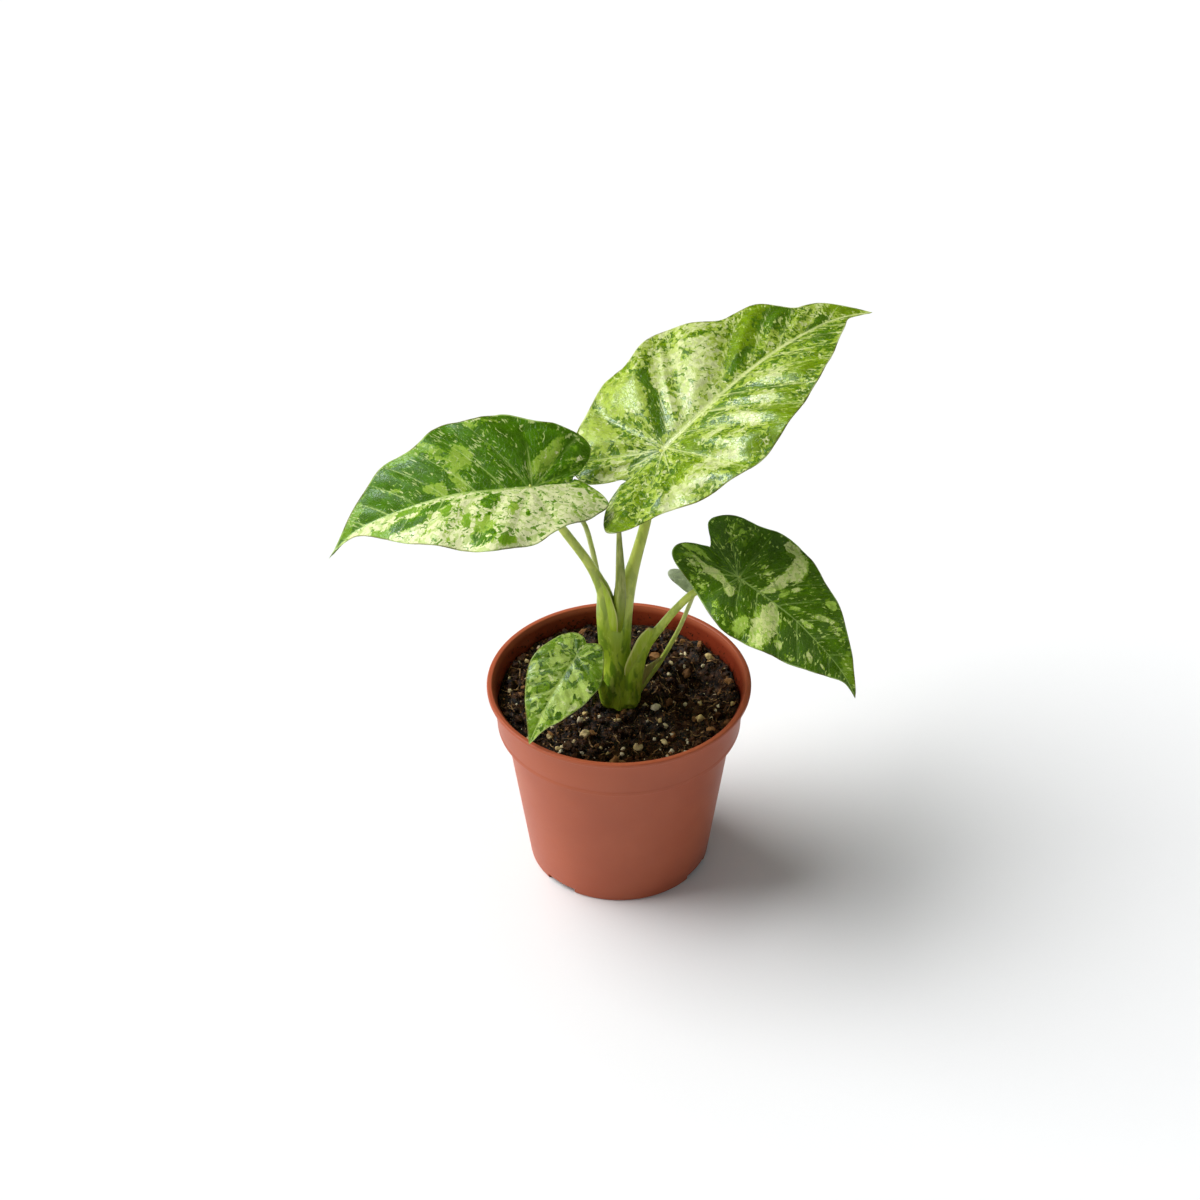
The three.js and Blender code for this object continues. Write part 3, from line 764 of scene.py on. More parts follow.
@dataclass(frozen=True)
class BladeFinish:
    """The colours and gloss of a blade, and how its flecks and veins show.

    The places are in millimetres: `plan` lies flat on the blade, and `flow`
    follows the run of its side veins.
    """

    dark: Colour
    green: Colour
    lime: Colour
    cream: Colour
    vein: Colour
    veins: float
    streaks: float
    fleck_size: float
    flecks: float
    dots: float
    underside: Colour = srgb(112, 142, 84)
    grey: Colour = srgb(80, 112, 46)
    worn: Colour = srgb(112, 106, 50)
    dot_limit: float = 0.595
    greyed: float = 0.3
    drawn: float = 0.5
    stretch: float = 0.5
    depth: float = 0.78
    roughness: float = 0.28
    gloss: float = 0.5

    def place(self, graph: Graph, shift: Place) -> Socket:
        """Places for a mark's noise, drawn out along the veins by the finish's share.

        Args:
            graph: The material's nodes.
            shift: Moves the noise, so that marks differ.

        Returns:
            The places.
        """
        free = 1.0 - self.drawn
        plain = graph.scaled(graph.vector("plan"), (free, free, free), shift)
        drawn = (self.drawn, self.drawn * self.stretch, 0.0)
        return graph.scaled(graph.vector("flow"), drawn, plain)

    def cover(self, graph: Graph, share: Value, layer: int) -> Value:
        """Where one tone covers the blade.

        Args:
            graph: The material's nodes.
            share: How much of the blade the tone covers here, from 0 to 1.
            layer: Picks the part of the noise that shapes the tone's edges.

        Returns:
            1 where a ragged noise, drawn out along the veins, is over a limit
            that falls as the share grows, and 0 elsewhere.
        """
        place = self.place(graph, (17.3 * layer, 5.1 * layer, 0.0))
        ragged = graph.noise(place, self.fleck_size, 5.0, 0.8, 0.56)
        return (ragged * 2.8 + share - 1.9).step(-0.02, 0.02)

    def ground(self, graph: Graph) -> Socket:
        """Colour the dark ground, which has darker clouds and small greyish marks.

        Args:
            graph: The material's nodes.

        Returns:
            The ground's colour.
        """
        clouds = graph.noise(graph.vector("flow"), 0.22, 4.0, 0.4)
        greyed = graph.noise(self.place(graph, (5.5, 1.5, 0.0)), 0.075, 4.0, 0.5)
        colour = graph.mix(clouds.step(0.38, 0.62), darkened(self.dark, 0.72), self.dark)
        return graph.mix(greyed.step(0.53, 0.54) * self.greyed, colour, self.grey)

    def markings(self, graph: Graph) -> Socket:
        """Colour the blade's marks.

        The blade stores what share of it is green, lime and cream. Each colour
        covers the one before with ragged edges; small pale flecks then lie on
        the dark ground and dark dots and faint clouds on the cream.

        Args:
            graph: The material's nodes.

        Returns:
            The marks' colour.
        """
        plan, flow = graph.vector("plan"), graph.vector("flow")
        colour = self.ground(graph)
        covers = []
        tints = (self.green, self.lime, self.cream)
        for layer, (tint, share) in enumerate(zip(tints, graph.parts(graph.vector("shares")))):
            covers.append(self.cover(graph, share, layer))
            place = self.place(graph, (8.1, 2.3 * layer, 0.0))
            shade = graph.noise(place, self.fleck_size * 1.1, 4.0, 0.5, 0.56).step(0.42, 0.6)
            mottled = graph.mix(shade, tint, darkened(tint, self.depth))
            colour = graph.mix(covers[layer], colour, mottled)
        _, limy, light = covers
        cluster = graph.noise(plan, 0.12, 2.0)
        dense = (cluster - 0.5) * 0.5
        place = graph.scaled(flow, (1.0, 0.3, 1.0), (3.7, 9.2, 0.0))
        speck = graph.noise(place, self.fleck_size * 2.4, 3.0, 0.5, 0.5) + dense
        pale = graph.mix(cluster.step(0.4, 0.6) * 0.45, self.lime, self.cream)
        colour = graph.mix(speck.step(0.637, 0.652) * self.flecks * (1 - light), colour, pale)
        cloud = graph.noise(plan, self.fleck_size * 0.9, 3.0, 0.5)
        colour = graph.mix(cloud.step(0.5, 0.56) * light * 0.55, colour, self.lime)
        dots = graph.noise(plan, self.fleck_size * 1.05, 3.0, 0.8, 0.5) - dense
        dotted = dots.step(self.dot_limit, self.dot_limit + 0.015)
        olive = graph.mix(0.35, self.dark, self.green)
        return graph.mix(dotted * (limy * 0.75 + light).clamped() * self.dots, colour, olive)

    def lines(self, graph: Graph, colour: Socket, net: Value) -> Socket:
        """Draw the net, the streaks beside the veins, the side veins and the midrib.

        Args:
            graph: The material's nodes.
            colour: The colour under the lines.
            net: Where the fine net lies.

        Returns:
            The colour with the lines.
        """
        plan, vein = graph.vector("plan"), graph.number("vein")
        rough_line = vein + (graph.noise(plan, 0.9, 2.0) - 0.5) * 0.5
        faint = graph.noise(plan, 0.05, 1.0).step(0.4, 0.6)
        line = (1 - rough_line.step(0.12, 0.55)) * self.veins * (0.35 + faint * 0.65)
        fan = graph.noise(graph.vector("flow"), 0.9, 2.0, stretch=(1.0, 0.05, 1.0))
        streak = fan.step(0.54, 0.6) * (1 - vein.step(0.4, 2.2)) * self.streaks
        along = graph.noise(plan, 1.6, 2.0, stretch=(0.03, 1.0, 1.0))
        ridge = graph.number("rib").step(0.2, 0.85) * (0.5 + along.step(0.4, 0.58) * 0.5)
        for strength in (net * 0.08, streak, line, ridge * 0.92):
            colour = graph.mix(strength, colour, self.vein)
        return colour

    def material(self, name: str) -> bpy.types.Material:
        """Make the blade's material: marks, veins, net, rim and underside.

        Args:
            name: The material's name.

        Returns:
            The material.
        """
        graph = Graph(name)
        plan, under = graph.vector("plan"), graph.number("under")
        net = 1 - graph.cells(plan, 0.6, "DISTANCE_TO_EDGE").step(0.0, 0.07)
        colour = self.lines(graph, self.markings(graph), net)
        worn = graph.noise(plan, 0.08, 2.0)
        edge = graph.mix(worn.step(0.42, 0.58), self.vein, self.worn)
        colour = graph.mix((1 - graph.number("rim").step(0.25, 0.8)) * 0.7, colour, edge)
        colour = graph.mix(under, colour, graph.mix(0.6, colour, self.underside))
        grain = graph.noise(plan, 2.2, 3.0)
        long_grain = graph.noise(graph.vector("flow"), 0.7, 3.0, stretch=(1.0, 0.22, 1.0))
        relief = net * -0.4 + grain * 0.25 + long_grain * 0.7
        rough = self.roughness + (grain - 0.5) * 0.14 + (long_grain - 0.5) * 0.2 + under * 0.2
        return graph.finish(colour, rough, graph.bump(relief, 0.3 * MM, 0.6), self.gloss)


@dataclass
class Blade:
    """One leaf blade: a thin closed sheet with veins pressed into its upper face.

    Each half has the tone that its patches lie on. The widths, the quilting
    and the groove are shares of the blade's length.
    """

    name: str
    node: str
    slot: str
    shape: BladeShape
    finish: BladeFinish
    patches: tuple[Patch, ...]
    left_tone: Tone
    right_tone: Tone
    detail: Detail
    left_veins: tuple[Vein, ...] = SIDE_VEINS
    right_veins: tuple[Vein, ...] = SIDE_VEINS
    quilt: float = 0.009
    vein_width: float = 0.028
    vein_depth: float = 0.4 * MM
    rib_width: float = 0.013
    rib_depth: float = 1.3 * MM
    rib_at_tip: float = 0.35
    groove_width: float = 0.02
    groove_depth: float = 0.005
    thickness: float = 0.5 * MM
    stray: float = 0.016

    def grid(self, half: Half) -> tuple[Array, Array, Array, Array]:
        """Lay out one half of the blade from the midrib to the margin.

        Args:
            half: Which half.

        Returns:
            The places x, y on the plan, the place on the midrib that each
            belongs to, the share of the way to the margin, and the length of
            each row.
        """
        *counts, columns = self.detail.value
        margin, rib = self.shape.rows(half, tuple(counts))
        share = (np.arange(columns + 1) / columns)[None, :, None]
        places = rib[:, None] * (1 - share) + margin[:, None] * share
        reach = np.linalg.norm(margin - rib, axis=1)[:, None]
        share, reach = np.broadcast_arrays(share[..., 0], reach)
        return places, np.broadcast_to(rib[:, None], places.shape), share, reach

    def vein_distance(self, half: Half, x: Array, breadth: Array) -> Array:
        """Distance to the half's nearest side vein, square to it, in shares of the length.

        Args:
            half: Which half.
            x: Places along the midrib.
            breadth: Distances from the midrib.

        Returns:
            The distances.
        """
        nearest = np.full(x.shape, 1.0)
        for vein in self.left_veins if half is Half.LEFT else self.right_veins:
            slope = vein.sweep + 2 * vein.bow * breadth
            gap = x - vein.root - vein.sweep * breadth - vein.bow * breadth**2
            nearest = np.minimum(nearest, np.abs(gap) / np.hypot(1.0, slope))
        return nearest

    def shares(self, places: Array) -> Array:
        """The shares of green, lime and cream that the patches give each place.

        The halves' tones meet along the midrib. Each patch is an oval whose
        edge is soft and strays a little from its line.

        Args:
            places: Places x, y on the plan.

        Returns:
            Rows of three shares.
        """
        x, y = places[..., 0], places[..., 1]
        seam, fineness, x_seed, y_seed = 0.006, 9.0, 61, 71
        left = smoothstep(-seam, seam, y - self.shape.rib_place(x))[..., None]
        right_shares, left_shares = (np.array(t.value) for t in (self.right_tone, self.left_tone))
        shares = right_shares * (1 - left) + left_shares * left
        space = flat(x, y) * fineness
        x = x + self.stray * layered_noise(space, x_seed, 2)
        y = y + self.stray * layered_noise(space, y_seed, 2)
        for patch in self.patches:
            turn = math.radians(patch.turn)
            dx, dy = x - patch.x, y - patch.y
            along = (dx * math.cos(turn) + dy * math.sin(turn)) / patch.long
            across = (dy * math.cos(turn) - dx * math.sin(turn)) / patch.wide
            inside = 1.0 - smoothstep(0.5, 1.5, np.hypot(along, across))
            shares = shares + (np.array(patch.tone.value) - shares) * inside[..., None]
        return shares

    def half_fields(self, half: Half) -> dict[str, Array]:
        """What one half of the blade stores, from the midrib to the margin.

        The skin between two veins puffs up by 1 - exp(-(gap/vein_width)²), but
        not at the midrib or the margin, and the midrib lies in a groove.

        Args:
            half: Which half.

        Returns:
            Tables of rows by columns: the places on the plan and their lift over
            the blade's plain form, as shares of the length; in millimetres the
            places along the run of the veins and the distances to the margin and
            to the nearest side vein, which count for more near the margin; the
            shares of the tones, and how much of a place is midrib.
        """
        places, rib, share, reach = self.grid(half)
        ahead = self.detail.value[0]
        scale = self.shape.length / MM
        side = np.abs(places[..., 1] - rib[..., 1])
        veins = self.vein_distance(half, places[..., 0], side)
        taper = self.rib_at_tip + (1 - self.rib_at_tip) * (1 - np.clip(rib[..., 0], 0, 1))
        present = smoothstep(-0.04, 0.0, places[..., 0])
        off_rib = smoothstep(0.0, 0.12, share * reach)
        off_margin = smoothstep(0.0, 0.1, (1 - share) * reach)
        puff = 1 - np.exp(-((veins / self.vein_width) ** 2))
        groove = self.groove_depth * present * np.exp(-((side / self.groove_width) ** 2))
        along = (1 - np.arange(len(places))[:, None] / ahead) * self.shape.left[0][0] + 0 * share
        return {
            "plan": places,
            "flow": np.stack([along, share * reach * half.value], -1) * scale,
            "shares": self.shares(places),
            "vein": veins * scale * (1.0 + 1.2 * share),
            "rib": np.exp(-((side / (self.rib_width * taper)) ** 2)) * present,
            "rim": (1 - share) * reach * scale,
            "lift": self.quilt * puff * (off_rib * off_margin) - groove,
        }

    def build(self) -> Piece:
        """Make the blade's mesh with the attributes that its finish reads.

        Returns:
            The blade's object.
        """
        ahead, lobe, notch, columns = self.detail.value
        rows, width = ahead + lobe + notch + 1, 2 * columns + 1
        ids = np.arange(rows * width).reshape(rows, width)
        fields: dict[str, Array] = {}
        for half in Half:
            column = columns + half.value * np.arange(columns + 1)
            for key, values in self.half_fields(half).items():
                whole = fields.setdefault(key, np.zeros((*ids.shape, *values.shape[2:])))
                whole[:, column] = values
        ids[0, :] = ids[0, columns]
        ids[-1, :] = ids[-1, columns]
        ids[ahead : ahead + lobe + 1, columns] = ids[ahead, columns]
        return self.sheet(ids, fields)

    def upper_face(self, plan: Array, lift: Array) -> Array:
        """The points of the upper face, in the model's frame.

        Args:
            plan: Places x, y on the plan.
            lift: Their lift over the blade's plain form.

        Returns:
            Rows of x, y, z in metres.
        """
        along, across, up = self.shape.axes()
        x, y = plan[..., 0], plan[..., 1]
        height = self.shape.height(x, y) + lift
        shape = x[..., None] * along + y[..., None] * across + height[..., None] * up
        return (np.array(self.shape.junction) + shape * self.shape.length).reshape(-1, 3)

    def depth(self, fields: dict[str, Array]) -> Array:
        """How thick the blade is at each place: its skin, midrib and veins, thin at the margin.

        Args:
            fields: What each place stores.

        Returns:
            The thickness in metres.
        """
        slim = np.clip(1 - fields["plan"][..., 0], 0, 1) ** 0.8
        side_vein = self.vein_depth * np.exp(-((fields["vein"] / 0.5) ** 2))
        ridge = fields["rib"] * self.rib_depth * slim + side_vein
        return (self.thickness + ridge) * np.clip(fields["rim"] / 0.8, 0.3, 1.0)

    def sheet(self, ids: Array, fields: dict[str, Array]) -> Piece:
        """Close the grid as a sheet with an upper and a lower face.

        The lower face lies below the upper one, square to it, by the blade's
        thickness, and a wall joins their margins.

        Args:
            ids: The point number of each place in the grid.
            fields: What each place stores.

        Returns:
            The blade's object.
        """
        upper = self.upper_face(fields["plan"], fields["lift"])
        count = len(upper)
        corners = (ids[:-1, :-1], ids[:-1, 1:], ids[1:, 1:], ids[1:, :-1])
        first, second, third, fourth = (corner.ravel() for corner in corners)
        halves = [np.stack([first, second, third], -1), np.stack([first, third, fourth], -1)]
        triangles = np.vstack(halves)
        a, b, c = triangles.T
        triangles = triangles[(a != b) & (b != c) & (c != a)]
        square = triangle_normals(upper, triangles)
        normals = np.zeros_like(upper)
        for corner in triangles.T:
            np.add.at(normals, corner, square)
        normals /= np.linalg.norm(normals, axis=1, keepdims=True) + 1e-20
        lower = upper - normals * self.depth(fields).ravel()[:, None]
        margin = np.concatenate([ids[:, 0], ids[::-1, -1]])
        here, there = margin, np.roll(margin, -1)
        here, there = here[here != there], there[here != there]
        near = np.stack([here, there, there + count], -1)
        far = np.stack([here, there + count, here + count], -1)
        faces = np.vstack([triangles, triangles[:, ::-1] + count, near, far])
        used, faces = np.unique(faces, return_inverse=True)
        piece = mesh_piece(self.name, np.vstack([upper, lower])[used], faces.reshape(-1, 3))
        self.store_fields(piece, fields, used)
        return piece

    def store_fields(self, piece: Piece, fields: dict[str, Array], used: Array) -> None:
        """Store what the finish reads at the points of both faces.

        Args:
            piece: The blade's object.
            fields: What each place of the grid stores.
            used: The place of each of the piece's points, counted on for the lower face.
        """
        plan = fields["plan"] * (self.shape.length / MM)
        places = {"plan": plan, "flow": fields["flow"]}
        stored = {key: flat(place[..., 0], place[..., 1]) for key, place in places.items()}
        stored |= {key: fields[key] for key in ("vein", "rib", "rim", "shares")}
        for key, values in stored.items():
            values = values.reshape(-1, *values.shape[2:])
            store(piece, key, np.concatenate([values, values])[used])
        store(piece, "under", (used >= plan[..., 0].size).astype(float))

    def dress(self, piece: Piece) -> None:
        """Give the blade its finish and its place in the model.

        Args:
            piece: The piece.
        """
        piece.data.materials.append(self.finish.material(self.name))
        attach(piece, BODY)
        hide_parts(self.node)


# Stem, sheaths and the rolled new leaf


@dataclass(frozen=True)
class StalkFinish:
    """Fleshy stalk: pale green above, stained dark green in clouds and olive at the foot."""

    # The palest colour; on the rear petiole, which lies in shade, it is partly painted light
    blanched: Colour = srgb(214, 220, 142)
    pale: Colour = srgb(202, 214, 98)
    green: Colour = srgb(158, 186, 46)
    deep: Colour = srgb(166, 194, 50)
    foot: Colour = srgb(186, 192, 50)
    stain: Colour = srgb(72, 116, 0)

    def material(self, name: str) -> bpy.types.Material:
        """Make the stalk's material, from object places and the stored `age`.

        Args:
            name: The material's name.

        Returns:
            The material.
        """
        graph = Graph(name)
        place = graph.object_place()
        age = graph.number("age")
        streak = graph.noise(place, 620.0, 3.0, stretch=(1.0, 1.0, 0.09))
        cloud = graph.noise(place, 240.0, 4.0, 0.6, stretch=(1.0, 1.0, 0.4))
        fine = graph.noise(place, 1900.0, 2.0, stretch=(1.0, 1.0, 0.05))
        scar = graph.noise(place, 420.0, 3.0, 0.8, stretch=(1.0, 1.0, 0.5))
        tones = (self.blanched, self.pale, self.green, self.deep, self.foot)
        base = graph.ramp(age, list(zip((0.0, 0.2, 0.45, 0.8, 1.0), tones)))
        colour = graph.mix(streak.step(0.46, 0.72) * 0.35, base, self.pale)
        colour = graph.mix(cloud.step(0.47, 0.6) * (age * 0.75 + 0.12), colour, self.stain)
        colour = graph.mix(scar.step(0.6, 0.66) * 0.45, colour, self.pale)
        rough = 0.36 + (fine - 0.5) * 0.15
        normal = graph.bump(fine * 0.6 + streak * 0.8, 0.25 * MM, 0.6)
        fleshy = {"weight": 0.12, "radius": (0.6, 1.0, 0.25), "scale": 1.5 * MM}
        return graph.finish(colour, rough, normal, 0.45, **fleshy)


@dataclass(frozen=True)
class Stalk:
    """A petiole: its route as x, y, z and radius in metres, and how aged it looks, a low age also
    standing in for painted light on a stalk in shade.
    """

    route: Line
    age: float = 0.0

    def samples(self, count: int = 120) -> Array:
        """Sample the route as rows of x, y, z and radius."""
        return spline(self.route, count)

    def shell(self, sides: int = 28) -> Shell:
        """The stalk's skin as a tube."""
        samples = self.samples()
        return tube(samples[:, :3], samples[:, 3], sides)


@dataclass
class Stem:
    """The stem: sheathing petioles that grow out of one another, fused in one skin."""

    stalks: tuple[Stalk, ...]
    soil_z: float = SOIL_LEVEL
    voxel: float = 0.42 * MM
    finish: StalkFinish = field(default_factory=StalkFinish)

    def build(self) -> Piece:
        """Fuse the stalks by remeshing them together and smooth where they meet.

        Returns:
            The new object.
        """
        piece = mesh_piece("stalks", *joined([stalk.shell() for stalk in self.stalks]))
        merge_points(piece)
        remesh = piece.modifiers.new("fuse", "REMESH")
        remesh.mode = "VOXEL"
        remesh.voxel_size = self.voxel
        smooth = piece.modifiers.new("smooth", "SMOOTH")
        smooth.factor = 0.5
        smooth.iterations = 6
        apply_modifiers(piece)
        piece.data.polygons.foreach_set("use_smooth", np.ones(len(piece.data.polygons), bool))
        self.paint(piece)
        return piece

    def paint(self, piece: Piece) -> None:
        """Store how old each point of the stem looks, which on the rear stalk is partly painted
        light.

        It is the mean age of the stalks near the point, each weighed by
        exp(-gap/reach), eased towards the foot's age near the soil.

        Args:
            piece: The piece.
        """
        reach = 0.5 * MM
        points = mesh_points(piece)
        gaps = []
        for stalk in self.stalks:
            samples = stalk.samples(60)
            gap = np.linalg.norm(points[:, None] - samples[:, :3], axis=2) - samples[:, 3]
            gaps.append(gap.min(1))
        weights = np.exp(-(np.array(gaps) - np.min(gaps, axis=0)) / reach)
        ages = np.array([stalk.age for stalk in self.stalks])
        age = ages @ weights / weights.sum(0)
        height = points[:, 2] - self.soil_z
        low = 1 - smoothstep(20 * MM, 62 * MM, height)
        foot = 1 - smoothstep(0.5 * MM, 6 * MM, height)
        store(piece, "age", np.clip(0.2 + age * 0.6 + 0.3 * low + 0.2 * foot, 0, 1))

    def dress(self, piece: Piece) -> None:
        """Give the stem its finish and its place in the model.

        Args:
            piece: The piece.
        """
        piece.data.materials.append(self.finish.material("stalk"))
        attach(piece, BODY)
        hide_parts("stem")


@dataclass(frozen=True)
class Sheath:
    """A thin membrane beside a petiole, from a line on its skin to a free margin."""

    inner: Line
    margin: Line
    bulge: float
    dry: float
    thickness: float = 0.45 * MM

    def shell(self, rows: int, sides: int) -> tuple[Array, Array]:
        """Carry a flat oval section from line to margin along the two curves.

        The section is m + cos(t)·h + n·(thickness/2·sin(t) + bulge·sin²(t)),
        where m is the middle between the curves, h half the way from one to
        the other and n square to both. It closes to a point at both ends.

        Args:
            rows: Rows of points, the two closed ends among them.
            sides: Points in each section.

        Returns:
            The points, row by row, and for each how near the margin it lies.
        """
        inner, margin = spline(self.inner, rows - 2), spline(self.margin, rows - 2)
        middle, half = (inner + margin) / 2, (margin - inner) / 2
        square = np.cross(np.gradient(middle, axis=0), half)
        square /= np.linalg.norm(square, axis=1, keepdims=True)
        square *= np.where(square[:, 1:2] > 0, -1.0, 1.0)
        turn = circle(sides)[:, None]
        rise = self.thickness / 2 * np.sin(turn) + self.bulge * np.sin(turn) ** 2
        points = middle[:, None] + np.cos(turn) * half[:, None] + rise * square[:, None]
        ends = [points[row].mean(1, keepdims=True) + 0 * points[row] for row in ([0], [-1])]
        shell = np.concatenate([ends[0], points, ends[1]]).reshape(-1, 3)
        return shell, np.tile(0.5 + 0.5 * np.cos(turn[:, 0]), rows)


@dataclass
class SheathSet:
    """The membranes of all sheaths as one piece, with pale margins that dry to brown."""

    sheaths: tuple[Sheath, ...]
    skin: Colour = srgb(164, 190, 36)
    rim: Colour = srgb(214, 216, 128)
    dry: Colour = srgb(168, 144, 92)
    straw: Colour = srgb(188, 172, 116)
    rows: int = 46
    sides: int = 28

    def build(self) -> Piece:
        """Join the membranes, with the stored `margin`, `dry` and `tip` of each point.

        Returns:
            The new object.
        """
        shells = [sheath.shell(self.rows, self.sides) for sheath in self.sheaths]
        cover = grid_faces(self.rows, self.sides, ring=True)
        piece = mesh_piece("sheath_membranes", *joined([(points, cover) for points, _ in shells]))
        tip = np.repeat(np.linspace(0, 1, self.rows), self.sides)
        store(piece, "margin", np.concatenate([margin for _, margin in shells]))
        store(piece, "dry", np.repeat([sheath.dry for sheath in self.sheaths], len(tip)))
        store(piece, "tip", np.tile(tip, len(shells)))
        merge_points(piece)
        return piece

    def dress(self, piece: Piece) -> None:
        """Give the membranes their finish and their place in the model.

        Args:
            piece: The piece.
        """
        graph = Graph("sheath_skin")
        margin, dry, tip = (graph.number(name) for name in ("margin", "dry", "tip"))
        streak = graph.noise(graph.object_place(), 800.0, 3.0, stretch=(1.0, 1.0, 0.12))
        dry_tip = tip.step(0.86, 0.98) * margin.step(0.3, 0.8) * 0.8
        browned = (dry * 0.85 + dry_tip + (streak - 0.66) * 0.4).clamped()
        papery = graph.mix(streak.step(0.35, 0.65), self.dry, self.straw)
        colour = graph.mix(margin.step(0.86, 0.97) * 0.9, self.skin, self.rim)
        colour = graph.mix(streak.step(0.4, 0.7) * 0.3, colour, self.rim)
        colour = graph.mix(browned * 0.85, colour, papery)
        normal = graph.bump(streak, 0.2 * MM, 0.6)
        piece.data.materials.append(graph.finish(colour, 0.42 + streak * 0.2, normal))
        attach(piece, BODY)


@dataclass
class NewLeaf:
    """The rolled new leaf: a slim cone whose free edge winds round it."""

    route: Line
    rings: int = 150
    sides: int = 64
    turns: float = 1.3
    lap: float = 0.13
    sheathed_z: tuple[float, float] = (136 * MM, 152 * MM)
    pale: Colour = srgb(172, 178, 88)
    green: Colour = srgb(122, 136, 36)
    base: Colour = srgb(132, 152, 22)

    def build(self) -> Piece:
        """Wind the roll.

        The radius grows by `lap` once round the section and drops back at the
        free edge, and that edge turns `turns` times round along the leaf.

        Returns:
            The new object.
        """
        samples = spline(self.route, self.rings)
        along = np.linspace(0, 1, self.rings)[:, None]
        turn = np.arange(self.sides)[None, :] / self.sides
        phase = (turn + self.turns * along) % 1.0
        lap = 1 + self.lap * (phase - 0.5) * (1 - smoothstep(0.97, 1.0, phase))
        points, faces = tube(samples[:, :3], samples[:, 3:] * lap, self.sides)
        piece = mesh_piece("rolled_leaf", points, faces)
        merge_points(piece)
        return piece

    def dress(self, piece: Piece) -> None:
        """Give the new leaf its finish and its place in the model.

        Args:
            piece: The piece.
        """
        graph = Graph("young_leaf")
        place = graph.object_place()
        streak = graph.noise(place, 700.0, 3.0, stretch=(1.0, 1.0, 0.12))
        colour = graph.mix(streak.step(0.35, 0.65), self.green, self.pale)
        clear = graph.parts(place)[2].step(*self.sheathed_z)
        colour = graph.mix(clear, self.base, colour)
        normal = graph.bump(streak, 0.2 * MM, 0.5)
        piece.data.materials.append(graph.finish(colour, 0.34 + streak * 0.1, normal))
        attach(piece, BODY)
        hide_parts("new_leaf")


# Pot


